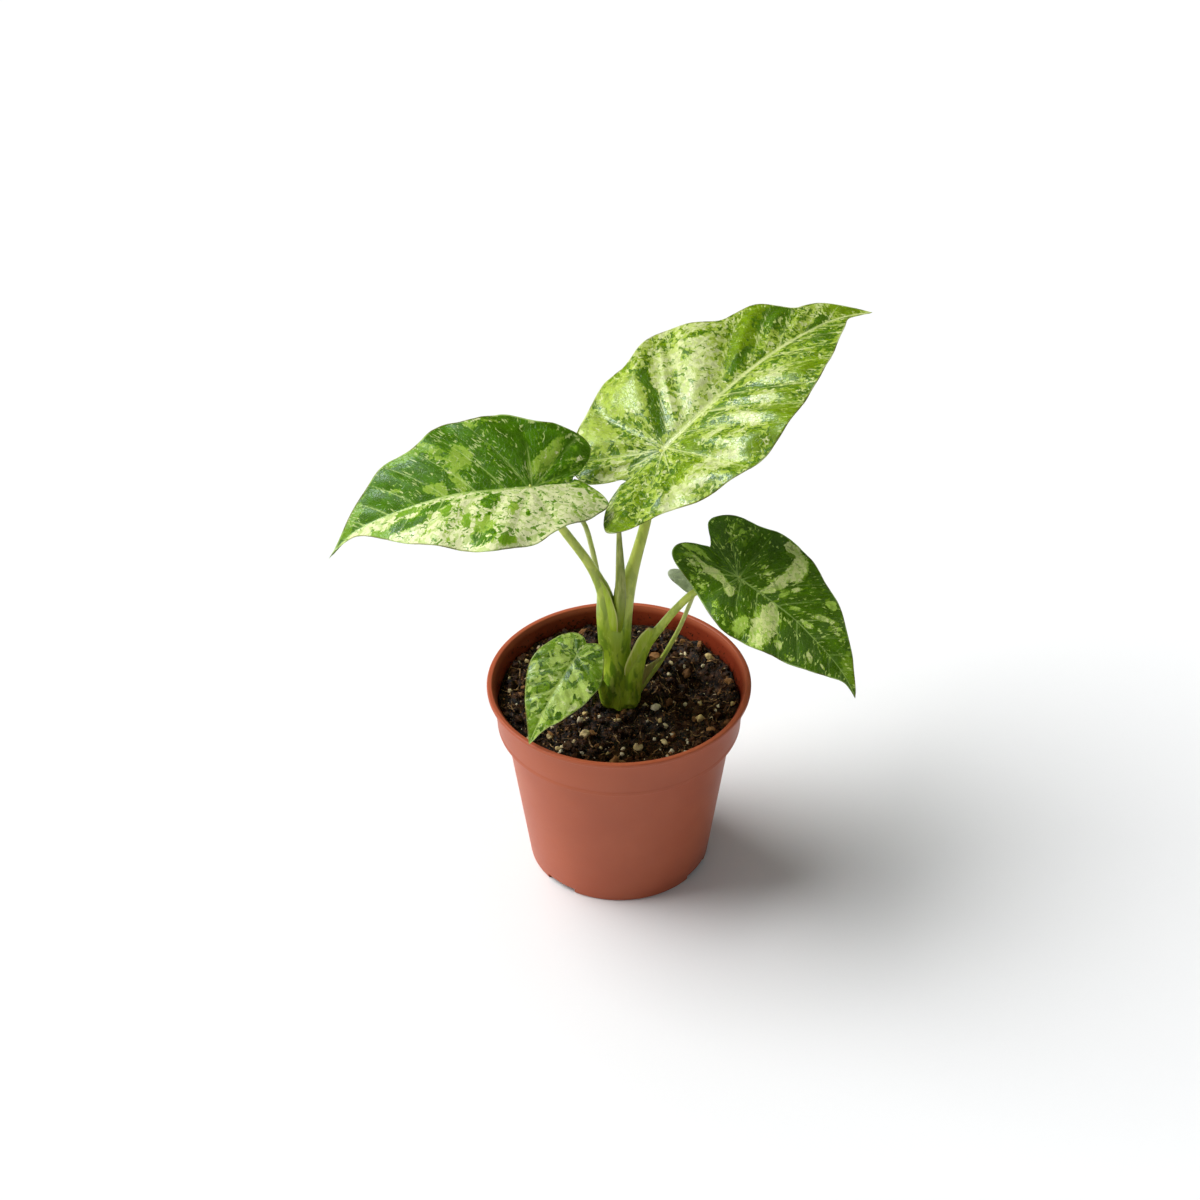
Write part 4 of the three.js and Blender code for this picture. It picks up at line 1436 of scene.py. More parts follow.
@dataclass
class NurseryPot:
    """A thin moulded pot: tapering body, upright collar and a flat rolled lip.

    The angles of the drain notches are in degrees from +X. The inside is darkened
    as painted shade, darker still in clouds towards the soil, and splashed with
    earth just over the soil.
    """

    height: float = 97 * MM
    rim_radius: float = 60 * MM
    lip_width: float = 2.6 * MM
    lip_depth: float = 2 * MM
    collar_top: float = 57.5 * MM
    collar_bottom: float = 55.7 * MM
    collar_z: float = 76 * MM
    body_top: float = 52.1 * MM
    base_radius: float = 42.1 * MM
    wall: float = 1.5 * MM
    sides: int = 256
    notch_angles: tuple[float, ...] = (-131, -31, 49, 149)
    notch_span: float = 22
    notch_height: float = 2.6 * MM
    notch_inner: float = 34 * MM
    soil_z: float = SOIL_LEVEL
    plastic: tuple[Colour, Colour] = (srgb(167, 84, 56), srgb(175, 91, 61))
    scuffed: Colour = srgb(198, 112, 84)
    # The inside's painted shade, its darker clouds towards the soil and its splashed earth
    shaded: Colour = srgb(128, 46, 26)
    darker_low: Colour = srgb(92, 34, 18)
    earthy: Colour = srgb(40, 24, 14)

    def outline(self) -> Array:
        """The section from the axis, up the outside, over the lip and down the inside.

        Returns:
            Rows of radius and height.
        """
        top, lip_z = self.height, self.height - self.lip_depth
        inner = self.rim_radius - self.lip_width
        round_lip, under_lip, edge, foot = 0.8 * MM, 0.5 * MM, 0.35 * MM, 1.0 * MM
        turn = np.linspace(0, np.pi / 2, 6)
        corner = np.stack([np.sin(turn), np.cos(turn)], -1)

        def arc(x: float, z: float, radius: float, right: int, upper: int) -> Array:
            """A quarter round with its middle at x, z, in the order of the outline."""
            flip = corner if right * upper < 0 else corner[::-1]
            return np.array([x, z]) + radius * flip * [right, upper]

        def steps(x: float, z: float, *moves: tuple[float, float]) -> Array:
            """Points at moves in millimetres from x, z."""
            return np.array([x, z]) + np.array(moves) * MM

        sections = [
            steps(0.0, 0.0, (0, 0), (20, 0)),
            arc(self.base_radius - foot, foot, foot, 1, -1),
            # The step outwards under the collar
            steps(self.body_top, self.collar_z, (-0.15, -2.2), (0, -1.3), (0.7, -0.7)),
            arc(self.collar_bottom - edge, self.collar_z + edge - 0.5 * MM, edge, 1, -1),
            # The soft line low on the collar, then the collar's upper end
            steps(self.collar_bottom, self.collar_z, (0.02, 1.1), (0.02, 1.5)),
            steps(self.collar_bottom, self.collar_z, (-0.1, 1.7), (0.05, 2)),
            steps(self.collar_top, lip_z, (0, -0.9), (0.3, -0.3)),
            # The lip: its under edge, its outer and its inner round
            arc(self.rim_radius - under_lip, lip_z + under_lip, under_lip, 1, -1),
            arc(self.rim_radius - round_lip, top - round_lip, round_lip, 1, 1),
            arc(inner + round_lip, top - round_lip, round_lip, -1, 1),
            # Down the inside to the floor
            steps(self.collar_top - self.wall, lip_z, (0, -0.8)),
            steps(self.collar_bottom - self.wall, self.collar_z + self.wall, (0, 0)),
            steps(self.body_top - self.wall, self.collar_z, (0, 0.7)),
            steps(self.base_radius - self.wall, self.wall + foot, (0, 0)),
            steps(self.base_radius - self.wall - foot, self.wall, (0, 0)),
            steps(0.0, self.wall, (20, 0), (0, 0)),
        ]
        return np.vstack(sections)

    def build(self) -> Piece:
        """Turn the outline round the pot's axis and cut the drain notches.

        Returns:
            The new object.
        """
        longest_step = 7 * MM
        outline = self.outline()
        step = np.linalg.norm(np.diff(outline, axis=0), axis=1)
        parts = np.maximum(np.ceil(step / longest_step).astype(int), 1)
        rows = zip(outline, outline[1:], parts)
        fine = [np.linspace(low, high, count, endpoint=False) for low, high, count in rows]
        profile = np.vstack([*fine, outline[-1:]])
        points = revolved(profile, self.sides).reshape(-1, 3)
        piece = mesh_piece("nursery_pot", points, grid_faces(len(profile), self.sides, ring=True))
        radius, z = profile.T
        past_lip = np.arange(len(profile)) > np.argmax(z >= self.height - 0.1 * MM)
        inside = past_lip & (radius < self.collar_top) & (z < self.height - 1.5 * MM)
        store(piece, "inside", np.repeat(inside.astype(float), self.sides))
        merge_points(piece)
        for angle in self.notch_angles:
            self.cut(piece, angle)
        return piece

    def cut(self, piece: Piece, angle: float) -> None:
        """Cut one drain notch: a curved block through the foot's edge.

        Args:
            piece: The pot.
            angle: The notch's place round the pot.
        """
        steps, margin = 17, 5 * MM
        turn = np.radians(angle + np.linspace(-0.5, 0.5, steps) * self.notch_span)[:, None]
        outer = self.base_radius + 6 * MM
        radius = np.array([self.notch_inner, outer, outer, self.notch_inner])
        z = np.array([-margin, -margin, self.notch_height, self.notch_height])
        points = np.stack([np.cos(turn) * radius, np.sin(turn) * radius, 0 * turn + z], -1)
        around = grid_faces(steps, 4, ring=True)
        ends = np.array([[3, 2, 1, 0], np.arange(4) + 4 * (steps - 1)])
        block = mesh_piece("notch", points.reshape(-1, 3), np.vstack([around, ends]), smooth=False)
        merge_points(block)
        cutter = piece.modifiers.new("notch", "BOOLEAN")
        cutter.operation = "DIFFERENCE"
        cutter.solver = "EXACT"
        cutter.object = block
        apply_modifiers(piece)
        bpy.data.objects.remove(block)

    def dress(self, piece: Piece) -> None:
        """Give the pot its plastic and its place in the model.

        Args:
            piece: The piece.
        """
        weighted = piece.modifiers.new("normals", "WEIGHTED_NORMAL")
        weighted.keep_sharp = True
        graph = Graph("pot_plastic")
        place = graph.object_place()
        inside = graph.number("inside")
        cloud = graph.noise(place, 22.0, 3.0)
        fine = graph.noise(place, 2600.0, 3.0)
        scuff = graph.noise(place, 140.0, 6.0, stretch=(1.0, 1.0, 6.0))
        lines = graph.noise(place, 900.0, 2.0, stretch=(0.02, 0.02, 1.0))
        above = (graph.parts(place)[2] - self.soil_z) / (self.height - self.soil_z)
        splash = (graph.noise(place, 700.0, 4.0, 0.5) - above * 0.16).step(0.52, 0.56)
        darker_low = (graph.noise(place, 120.0, 3.0) - above * 0.2).step(0.38, 0.6)
        colour = graph.mix(cloud.step(0.3, 0.7), *self.plastic)
        colour = graph.mix(scuff.step(0.66, 0.8) * 0.35, colour, self.scuffed)
        # Painted shade: the whole inside of the wall is darkened
        colour = graph.mix(inside * 0.85, colour, self.shaded)
        # Darker in clouds towards the soil
        colour = graph.mix(inside * darker_low * 0.55, colour, self.darker_low)
        colour = graph.mix(inside * splash * 0.9, colour, self.earthy)
        rough = 0.42 + (fine - 0.5) * 0.14 + scuff.step(0.55, 0.8) * 0.1
        normal = graph.bump(fine * 0.5 + lines * 0.35 + cloud * 1.2, 0.12 * MM, 0.5)
        piece.data.materials.append(graph.finish(colour, rough, normal, 0.32))
        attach(piece, BODY)
        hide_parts("pot")


# Soil


def icosphere(levels: int) -> Shell:
    """A ball of triangles: an icosahedron whose faces are split in four `levels` times.

    Args:
        levels: How often the faces are split.

    Returns:
        Points at 1 from the origin, and faces as rows of three numbers.
    """
    golden = (1 + math.sqrt(5)) / 2
    corners = [(-1, golden, 0), (1, golden, 0), (-1, -golden, 0), (1, -golden, 0)]
    points = np.array([np.roll(corner, turn) for turn in range(3) for corner in corners], float)
    gaps = np.linalg.norm(points[:, None] - points[None], axis=2)
    near = (gaps > 0) & (gaps < 2.1)
    triples = combinations(range(len(points)), 3)
    faces = np.array([t for t in triples if all(near[pair] for pair in combinations(t, 2))])
    for _ in range(levels):
        edges = np.sort(faces[:, [[0, 1], [1, 2], [2, 0]]].reshape(-1, 2), axis=1)
        pairs, index = np.unique(edges, axis=0, return_inverse=True)
        middle = index.reshape(-1, 3) + len(points)
        points = np.vstack([points, points[pairs].mean(1)])
        (a, b, c), (ab, bc, ca) = faces.T, middle.T
        quarters = ((a, ab, ca), (ab, b, bc), (ca, bc, c), (ab, bc, ca))
        faces = np.vstack([np.stack(quarter, -1) for quarter in quarters])
    points /= np.linalg.norm(points, axis=1, keepdims=True)
    inward = (triangle_normals(points, faces) * points[faces[:, 0]]).sum(1) < 0
    faces[inward] = faces[inward][:, ::-1]
    return points, faces


def random_turns(count: int, random: np.random.Generator) -> Array:
    """Rotation matrices in random directions, from random unit quaternions.

    Args:
        count: How many.
        random: Draws the quaternions.

    Returns:
        Matrices, as count by 3 by 3.
    """
    w, x, y, z = random.normal(size=(count, 4)).T
    size = np.sqrt(w * w + x * x + y * y + z * z)
    w, x, y, z = w / size, x / size, y / size, z / size
    rows = [
        [1 - 2 * (y * y + z * z), 2 * (x * y - z * w), 2 * (x * z + y * w)],
        [2 * (x * y + z * w), 1 - 2 * (x * x + z * z), 2 * (y * z - x * w)],
        [2 * (x * z - y * w), 2 * (y * z + x * w), 1 - 2 * (x * x + y * y)],
    ]
    return np.array(rows).transpose(2, 0, 1)


# The perlite grains that show in front, as place x, y and radius in millimetres
SEEN_GRAINS = (
    (16.7, -8.0, 2.1), (11.8, -5.3, 1.6), (-15.5, -26.8, 2.6), (-25.3, -34.4, 1.6),
    (-27.5, -35.7, 1.2), (-17.7, -17.6, 1.8), (-15.5, -10.5, 1.3), (-20.4, -30.3, 1.0),
    (-31.6, -26.6, 1.3), (-5.7, -30.5, 1.2), (-0.2, -17.8, 0.9), (-5.7, -38.8, 1.1),
    (1.4, -36.1, 1.0), (8.1, -35.5, 2.6), (19.8, -31.5, 1.7), (20.5, -20.2, 1.3),
    (36.4, -15.5, 1.7), (45.4, -6.2, 1.1), (24.4, 25.8, 1.2), (30.5, 25.0, 1.0),
    (39.3, 25.6, 1.1), (42.2, 27.9, 1.8), (23.3, 18.3, 1.0), (30.0, -5.3, 0.9),
    (23.1, -39.1, 1.1), (34.9, -32.3, 1.0), (40.4, -27.5, 1.2), (51.6, -8.2, 1.4),
    (-46.1, 24.5, 1.1), (-43.7, -2.2, 1.2), (-46.6, -15.8, 1.3), (-49.8, 5.2, 1.1),
)


@dataclass(frozen=True)
class Lumps:
    """One kind of lump on the soil, each a dented ball of its own shape and size.

    The lumps lie at random between `inner` and `outer` from the pot's axis.
    Their radii are size·u^power with u between the ends of `spread`, but no
    lump reaches past `limit`, and each rises by a share of its radius between
    the ends of `rise`. A ball is split `levels` times, dented by a share
    `rough` of its radius and flattened at most to `flatten`. The grains in
    `seen` come first and are `swell` times their radius.
    """

    name: str
    seed: int
    count: int
    inner: float
    outer: float
    spread: tuple[float, float]
    rise: tuple[float, float]
    levels: int
    rough: float
    flatten: float
    size: float = 1 * MM
    power: float = 1.0
    limit: float = 56 * MM
    seen: Line = ()
    swell: float = 1.15

    def shape(self, places: Array, sizes: Array) -> Piece:
        """Make one piece of all the lumps.

        Args:
            places: The middle of each lump.
            sizes: The radius of each lump.

        Returns:
            The new object, with a random `shade` from 0 to 1 for each lump.
        """
        seed = self.seed + 1
        random = np.random.default_rng(seed)
        ball, faces = icosphere(self.levels)
        count = len(places)
        dents = lattice_noise(ball * 1.6 + random.uniform(0, LATTICE, (count, 1, 3)), seed)
        shape = ball * (1 + self.rough * dents)[..., None]
        shape = shape * random.uniform(self.flatten, 1.0, (count, 1, 3))
        shape = np.einsum("nij,nkj->nki", random_turns(count, random), shape)
        points = places[:, None] + shape * sizes[:, None, None]
        cover = faces + np.arange(count)[:, None, None] * len(ball)
        smooth = self.levels > 1
        piece = mesh_piece(self.name, points.reshape(-1, 3), cover.reshape(-1, 3), smooth)
        store(piece, "shade", np.repeat(random.uniform(0, 1, count), len(ball)))
        return piece


CRUMBS = Lumps(
    "crumbs", 21, 650, 10 * MM, 53.5 * MM, (0.8, 1.75), (-0.2, 0.45), 1, 0.45, 0.45,
    size=0.8 * MM, power=2.4, limit=55 * MM,
)
DUST = Lumps("dust", 31, 3400, 9.5 * MM, 54.2 * MM, (0.25, 0.85), (-0.1, 0.7), 0, 0.35, 0.5)
PERLITE = Lumps(
    "perlite", 41, 230, 12 * MM, 53 * MM, (0.4, 1.0), (0.15, 0.5), 2, 0.42, 0.6,
    size=1.3 * MM, power=2.4, seen=SEEN_GRAINS,
)


@dataclass
class PottingSoil:
    """Dark peat with bark crumbs, fibres and perlite grains, filling the pot."""

    level: float = SOIL_LEVEL
    radius: float = 54.7 * MM
    floor_radius: float = 39.2 * MM
    floor: float = 1.9 * MM
    hollow: tuple[float, float] = (36 * MM, 12 * MM)
    hollow_radius: float = 12 * MM
    hollow_depth: float = 9 * MM
    edge_rise: float = 2 * MM
    lump_height: float = 1.1 * MM
    stem: tuple[float, float] = (0.8 * MM, 0.0)
    stem_dip: float = 0.6 * MM
    rings: int = 130
    sides: int = 360
    fibres: int = 340
    fibre_seed: int = 51
    dark: Colour = srgb(17, 10, 5)
    brown: Colour = srgb(66, 40, 20)
    bark: Colour = srgb(150, 106, 62)

    def height(self, x: Array, y: Array) -> Array:
        """Height of the soil's surface.

        Broad and coarse lumps lie over the level, with a hollow on the right
        that falls off as exp(-(distance/radius)⁴). The soil dips round the
        stem, where it is smoother, and rises towards the pot's wall.

        Args:
            x: Places to the right.
            y: Places to the back.

        Returns:
            The heights in metres.
        """
        broad_size, broad_seed, coarse_size, coarse_seed = 11 * MM, 11, 3.6 * MM, 17
        places = flat(x, y)
        broad = layered_noise(places / broad_size, broad_seed, 2) * self.lump_height
        coarse = layered_noise(places / coarse_size, coarse_seed, 3, 0.6) * self.lump_height
        hollow = np.hypot(x - self.hollow[0], y - self.hollow[1]) / self.hollow_radius
        deep = self.hollow_depth * np.exp(-(hollow**4))
        gap = np.hypot(x - self.stem[0], y - self.stem[1])
        clear = smoothstep(9 * MM, 18 * MM, gap)
        heaped = self.edge_rise * smoothstep(42 * MM, 53 * MM, np.hypot(x, y))
        lumps = (broad - deep) * clear + coarse * (0.4 + 0.6 * clear)
        return self.level + heaped + lumps - self.stem_dip * (1 - clear)

    def scatter(self, count: int, random: np.random.Generator, inner: float, outer: float) -> Array:
        """Random places on the surface between two distances from the pot's axis.

        Args:
            count: How many places.
            random: Draws them.
            inner: The least distance.
            outer: The greatest distance.

        Returns:
            Rows of x, y, z.
        """
        turn = random.uniform(0, 2 * np.pi, count)
        reach = np.sqrt(random.uniform(inner**2, outer**2, count))
        x, y = reach * np.cos(turn), reach * np.sin(turn)
        return np.stack([x, y, self.height(x, y)], -1)

    def build_body(self) -> Piece:
        """Fill the pot: the surface as rings round the axis, then down the wall to the floor.

        Returns:
            The new object.
        """
        reach, turn = np.linspace(0, self.radius, self.rings)[:, None], circle(self.sides)
        x, y = reach * np.cos(turn), reach * np.sin(turn)
        top = np.stack([x, y, self.height(x, y)], -1)
        wall = np.array([
            [self.radius, self.level - 3 * MM],
            [54.0 * MM, 78.0 * MM],
            [50.2 * MM, 76.0 * MM],
            [40.4 * MM, 3.2 * MM],
            [self.floor_radius, self.floor],
            [0.0, self.floor],
        ])
        points = np.concatenate([top, revolved(wall, self.sides)]).reshape(-1, 3)
        faces = grid_faces(self.rings + len(wall), self.sides, ring=True)
        piece = mesh_piece("soil_body", points, faces)
        merge_points(piece)
        return piece

    def strew(self, lumps: Lumps) -> Piece:
        """Lay one kind of lump on the surface: the seen ones in their places, others at random.

        Args:
            lumps: The kind of lump.

        Returns:
            The new object.
        """
        random = np.random.default_rng(lumps.seed)
        x, y, radius = np.reshape(lumps.seen, (-1, 3)).T * MM
        seen = np.stack([x, y, self.height(x, y)], -1)
        places = np.vstack([seen, self.scatter(lumps.count, random, lumps.inner, lumps.outer)])
        drawn = random.uniform(*lumps.spread, lumps.count) ** lumps.power * lumps.size
        sizes = np.concatenate([radius * lumps.swell, drawn])
        sizes = np.minimum(sizes, lumps.limit - np.hypot(places[:, 0], places[:, 1]))
        places[:, 2] += sizes * random.uniform(*lumps.rise, len(places))
        return lumps.shape(places, sizes)

    def fibre_shell(self, place: Array, random: np.random.Generator) -> Shell:
        """Lay one fibre on the surface: a bow, thin at its ends, with one end raised a little.

        Args:
            place: The fibre's middle.
            random: Draws its direction, length, bow, rise and thickness.

        Returns:
            Its points and faces.
        """
        turn, length = random.uniform(0, 2 * np.pi), random.uniform(1.5, 9) * MM
        along = np.linspace(-0.5, 0.5, 8)[:, None]
        heading = np.array([math.cos(turn), math.sin(turn), 0.0])
        side = np.array([-math.sin(turn), math.cos(turn), 0.0])
        curl = random.uniform(-0.35, 0.35)
        route = place + length * (along * heading + curl * (along**2) * side)
        route[:, 2] = self.height(route[:, 0], route[:, 1]) + 0.35 * MM
        along = along[:, 0]
        route[:, 2] += random.uniform(0, 1.2) * MM * (along + 0.5) ** 2
        thick = (0.1 + 0.45 * random.uniform() ** 3) * MM
        return tube(route, thick * (1 - 1.2 * np.abs(along)), 5)

    def build_fibres(self) -> Piece:
        """Lay thin curved fibres and bark slivers over the surface.

        Returns:
            The new object.
        """
        random = np.random.default_rng(self.fibre_seed)
        places = self.scatter(self.fibres, random, 12 * MM, 52 * MM)
        piece = mesh_piece("fibres", *joined([self.fibre_shell(place, random) for place in places]))
        merge_points(piece, 1e-9)
        return piece

    def earth(self, name: str, crumbly: bool) -> bpy.types.Material:
        """Peat: near-black brown with lighter bark on some crumbs.

        Args:
            name: The material's name.
            crumbly: Whether some lumps are of bark.

        Returns:
            The material.
        """
        graph = Graph(name)
        place = graph.object_place()
        fine = graph.noise(place, 1400.0, 4.0)
        cloud = graph.noise(place, 260.0, 4.0)
        colour = graph.mix(cloud.step(0.42, 0.68), self.dark, self.brown)
        colour = graph.mix(fine.step(0.55, 0.7) * 0.5, colour, self.bark)
        if crumbly:
            shade = graph.number("shade")
            colour = graph.mix(shade.step(0.5, 1.0) * 0.6, colour, self.brown)
            colour = graph.mix(shade.step(0.85, 0.9) * 0.75, colour, self.bark)
        normal = graph.bump(fine * 0.6 + cloud, 0.6 * MM, 0.9)
        return graph.finish(colour, 0.6 + (fine - 0.5) * 0.4, normal, 0.3)

    def perlite(self) -> bpy.types.Material:
        """Perlite: porous white and cream, with earth in its pits.

        Returns:
            The material.
        """
        graph = Graph("perlite")
        place = graph.object_place()
        pits = graph.cells(place, 2200.0)
        cloud = graph.noise(place, 500.0, 3.0)
        colour = graph.mix(graph.number("shade"), srgb(232, 222, 190), srgb(204, 176, 108))
        colour = graph.mix(cloud.step(0.5, 0.7) * 0.5, colour, srgb(128, 102, 76))
        colour = graph.mix((1 - pits.step(0.1, 0.4)) * 0.35, colour, srgb(96, 76, 58))
        normal = graph.bump(pits * 0.7 + cloud * 0.5, 0.4 * MM, 0.8)
        return graph.finish(colour, 0.8 + pits * 0.1, normal)

    def fibre(self) -> bpy.types.Material:
        """Fibres: brown to straw-coloured strands.

        Returns:
            The material.
        """
        graph = Graph("fibre")
        strand = graph.noise(graph.object_place(), 700.0, 3.0)
        colour = graph.mix(strand.step(0.3, 0.7), srgb(74, 48, 28), srgb(188, 150, 98))
        return graph.finish(colour, 0.6 + strand * 0.3, graph.bump(strand, 0.2 * MM, 0.5))

    def build(self) -> list[Piece]:
        """Make the soil's pieces and dress them.

        Returns:
            The pieces, the soil's body first.
        """
        dressed = {
            self.build_body(): self.earth("peat", False),
            self.strew(CRUMBS): self.earth("crumb_peat", True),
            self.strew(DUST): self.earth("dust_peat", True),
            self.strew(PERLITE): self.perlite(),
            self.build_fibres(): self.fibre(),
        }
        for piece, material in dressed.items():
            piece.data.materials.append(material)
            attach(piece, BODY)
        body, *others = dressed
        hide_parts("soil")
        return [body, *others]


# The plant's own shapes, in the frame of the model


def route(*points: tuple[float, ...]) -> Line:
    """Turn route points from millimetres into metres."""
    return tuple(tuple(value * MM for value in point) for point in points)


LEFT_SHAPE = BladeShape(
    junction=(-37.5 * MM, -7.9 * MM, 211.4 * MM), heading=200.1, pitch=9.8, bank=-18.5,
    length=81.8 * MM, arch=0.483, lobe=0.17, fold=0.253, droop=0.229,
    wave=Wave(0.02, 3, 0.1, 0.45),
    rib=curve(
        (-300, 20), (-100, 35), (20, 42), (200, 32), (400, 0), (600, -16), (800, -30), (900, -15),
        (1002, 45),
    ),
    left=curve(
        (1002, 45), (965, 20), (930, 7), (889, 5), (855, 22), (820, 58), (780, 110), (740, 155),
        (690, 205), (640, 250), (600, 288), (550, 325), (490, 360), (440, 395), (400, 435),
        (360, 460), (320, 467), (260, 460), (200, 451), (140, 450), (100, 447), (60, 432),
        (20, 408), (-30, 385), (-80, 360), (-140, 338), (-200, 320), (-250, 295), (-300, 262),
        (-345, 235), (-378, 200), (-385, 160), (-370, 110), (-335, 60), (-290, 15), (-233, -6),
    ),
    right=curve(
        (1002, 45), (970, 10), (930, -45), (890, -105), (840, -165), (780, -222), (730, -272),
        (690, -300), (650, -315), (600, -320), (550, -327), (500, -348), (460, -378), (420, -406),
        (380, -423), (340, -422), (290, -404), (240, -394), (200, -393), (150, -406), (110, -422),
        (60, -430), (20, -418), (-20, -395), (-70, -366), (-120, -345), (-170, -336), (-220, -335),
        (-270, -322), (-320, -302), (-360, -275), (-388, -235), (-395, -190), (-375, -135),
        (-335, -85), (-285, -35), (-233, -6),
    ),
)

TOP_SHAPE = BladeShape(
    junction=(19.4 * MM, 24.2 * MM, 207.3 * MM), heading=41.6, pitch=30.1, bank=-1.8,
    length=120.5 * MM, arch=0.386, lobe=-0.53, fold=0.237, droop=0.287,
    wave=Wave(0.018, 3.2, 0.3, 0),
    rib=curve(
        (-300, 10), (-100, 0), (20, -12), (200, -20), (400, -12), (600, 0), (800, 10), (900, 0),
        (988, -30),
    ),
    left=curve(
        (988, -30), (955, 30), (920, 85), (885, 122), (845, 138), (800, 148), (765, 190),
        (730, 235), (690, 258), (630, 266), (568, 267), (520, 295), (465, 345), (420, 388),
        (380, 405), (330, 400), (280, 385), (225, 366), (178, 364), (140, 385), (100, 400),
        (55, 388), (0, 362), (-60, 335), (-130, 308), (-200, 270), (-255, 215), (-285, 150),
        (-280, 101), (-240, 60), (-182, 20),
    ),
    right=curve(
        (988, -30), (940, -24), (890, -26), (830, -80), (770, -130), (700, -185), (620, -240),
        (550, -288), (470, -316), (400, -348), (340, -378), (270, -396), (200, -402), (140, -412),
        (90, -418), (40, -406), (-10, -384), (-70, -360), (-130, -325), (-180, -285), (-240, -248),
        (-300, -236), (-360, -222), (-400, -195), (-412, -165), (-395, -125), (-365, -85),
        (-330, -50), (-280, -15), (-182, 20),
    ),
)

RIGHT_SHAPE = BladeShape(
    junction=(53.8 * MM, -11.9 * MM, 164.6 * MM), heading=-37.3, pitch=-20.8, bank=9.2,
    length=70.5 * MM, arch=0.261, lobe=0.04, fold=0.174, droop=0.257,
    wave=Wave(0.02, 3, 0.2, 0.6),
    rib=curve(
        (-300, 10), (-100, -30), (0, -38), (200, -18), (400, 10), (600, 20), (800, 24), (920, 8),
        (995, -17),
    ),
    left=curve(
        (995, -17), (970, 15), (930, 50), (870, 100), (820, 143), (750, 188), (700, 222),
        (640, 262), (600, 284), (540, 306), (480, 326), (420, 350), (350, 368), (280, 380),
        (220, 398), (170, 420), (120, 428), (70, 417), (20, 400), (-40, 378), (-90, 355),
        (-150, 338), (-200, 335), (-260, 324), (-310, 298), (-350, 260), (-380, 215), (-397, 170),
        (-390, 130), (-355, 92), (-310, 55), (-269, 11),
    ),
    right=curve(
        (995, -17), (950, -12), (900, -16), (860, -38), (820, -75), (770, -118), (720, -166),
        (660, -214), (610, -246), (550, -277), (500, -305), (460, -334), (410, -359), (350, -376),
        (300, -387), (260, -403), (220, -428), (170, -442), (120, -432), (60, -410), (10, -388),
        (-50, -360), (-100, -340), (-170, -318), (-240, -303), (-310, -280), (-370, -248),
        (-405, -215), (-420, -175), (-418, -135), (-395, -90), (-355, -50), (-310, -20), (-269, 11),
    ),
)

FRONT_SHAPE = BladeShape(
    junction=(-18.8 * MM, -19 * MM, 125.7 * MM), heading=236.3, pitch=-16.8, bank=-5.2,
    length=42 * MM, arch=0.342, lobe=0.208, fold=0.111, droop=0.223,
    wave=Wave(0.018, 2.6, 0.1, 0.5),
    left=curve(
        (1000, 0), (950, 35), (880, 68), (820, 110), (770, 150), (720, 200), (660, 250), (590, 300),
        (500, 342), (400, 385), (300, 416), (210, 416), (100, 385), (0, 335), (-90, 285),
        (-157, 240), (-210, 195), (-243, 145), (-235, 75), (-193, 0),
    ),
    right=curve(
        (1000, 0), (950, -38), (890, -78), (820, -130), (730, -195), (650, -250), (580, -287),
        (500, -325), (420, -366), (350, -396), (280, -408), (200, -404), (100, -392), (0, -368),
        (-80, -335), (-150, -298), (-210, -245), (-250, -185), (-262, -130), (-245, -60), (-193, 0),
    ),
)

BACK_SHAPE = BladeShape(
    junction=(37.1 * MM, 16 * MM, 144 * MM), heading=-30, pitch=-8, bank=4, length=33 * MM,
    wave=Wave(0.018, 2.6, 0.2, 0.4),
)

REAR_SHAPE = BladeShape(
    junction=(-23.4 * MM, 24 * MM, 176.9 * MM), heading=170, pitch=-10, bank=0, length=36 * MM,
    wave=Wave(0.018, 2.6, 0.6, 0.1),
)

DARK, FLECKED, GREEN, LEAFY, LIVELY, LIME, MOTTLED, PALE, CREAM = Tone

# The top blade's patches. Those at (80, 270) and (-70, 240) in lime and at (360, -210), (470,
# -120), (0, -270) and (-180, -250) in the pale tone are partly the blade's own pale colour and
# partly painted sheen, where its gloss catches the light.
TOP_PATCHES = patches(
    (330, 190, 240, 100, 48, CREAM), (100, 120, 120, 24, 52, DARK), (190, 250, 40, 20, 60, DARK),
    (240, 150, 70, 22, 45, LIVELY), (360, 200, 35, 25, 30, LIVELY), (380, 340, 90, 50, 0, MOTTLED),
    (460, 250, 60, 25, -30, LIVELY), (140, 360, 60, 25, -20, GREEN), (80, 270, 90, 70, 60, LIME),
    (-70, 240, 80, 60, 60, LIME), (-20, 180, 100, 30, 100, LIVELY), (550, 120, 170, 60, 30, GREEN),
    (460, 45, 90, 20, 25, DARK), (700, 140, 90, 50, 10, DARK), (660, 220, 70, 30, 0, GREEN),
    (600, 260, 60, 15, -10, MOTTLED), (830, 90, 60, 25, 10, MOTTLED), (800, 30, 70, 12, 10, DARK),
    (930, 50, 70, 50, -40, GREEN), (200, -80, 45, 25, 0, DARK), (50, -120, 50, 50, 0, GREEN),
    (-60, -210, 70, 50, 0, GREEN), (120, -170, 70, 15, -10, CREAM), (250, -240, 70, 30, 90, CREAM),
    (320, -90, 35, 18, -60, DARK), (400, -150, 70, 14, -60, DARK), (360, -210, 50, 40, -60, PALE),
    (470, -120, 60, 50, -30, PALE), (150, -340, 70, 40, 0, GREEN), (260, -340, 50, 30, 0, MOTTLED),
    (360, -290, 90, 30, 15, GREEN), (550, -200, 80, 50, 30, GREEN), (730, -80, 80, 40, 40, DARK),
    (650, -120, 50, 30, 40, LIVELY), (0, -270, 170, 50, 0, PALE), (-180, -250, 80, 30, 20, PALE),
    (-280, -140, 120, 70, 20, LIVELY), (-380, -180, 50, 50, 0, GREEN), (-90, 20, 60, 12, 165, DARK),
    (-200, 70, 90, 30, 160, PALE), (-240, 140, 50, 50, 0, FLECKED),
    (100, -400, 160, 35, 10, FLECKED), (500, -290, 160, 35, 28, FLECKED),
    (300, -370, 100, 30, 20, GREEN),
)

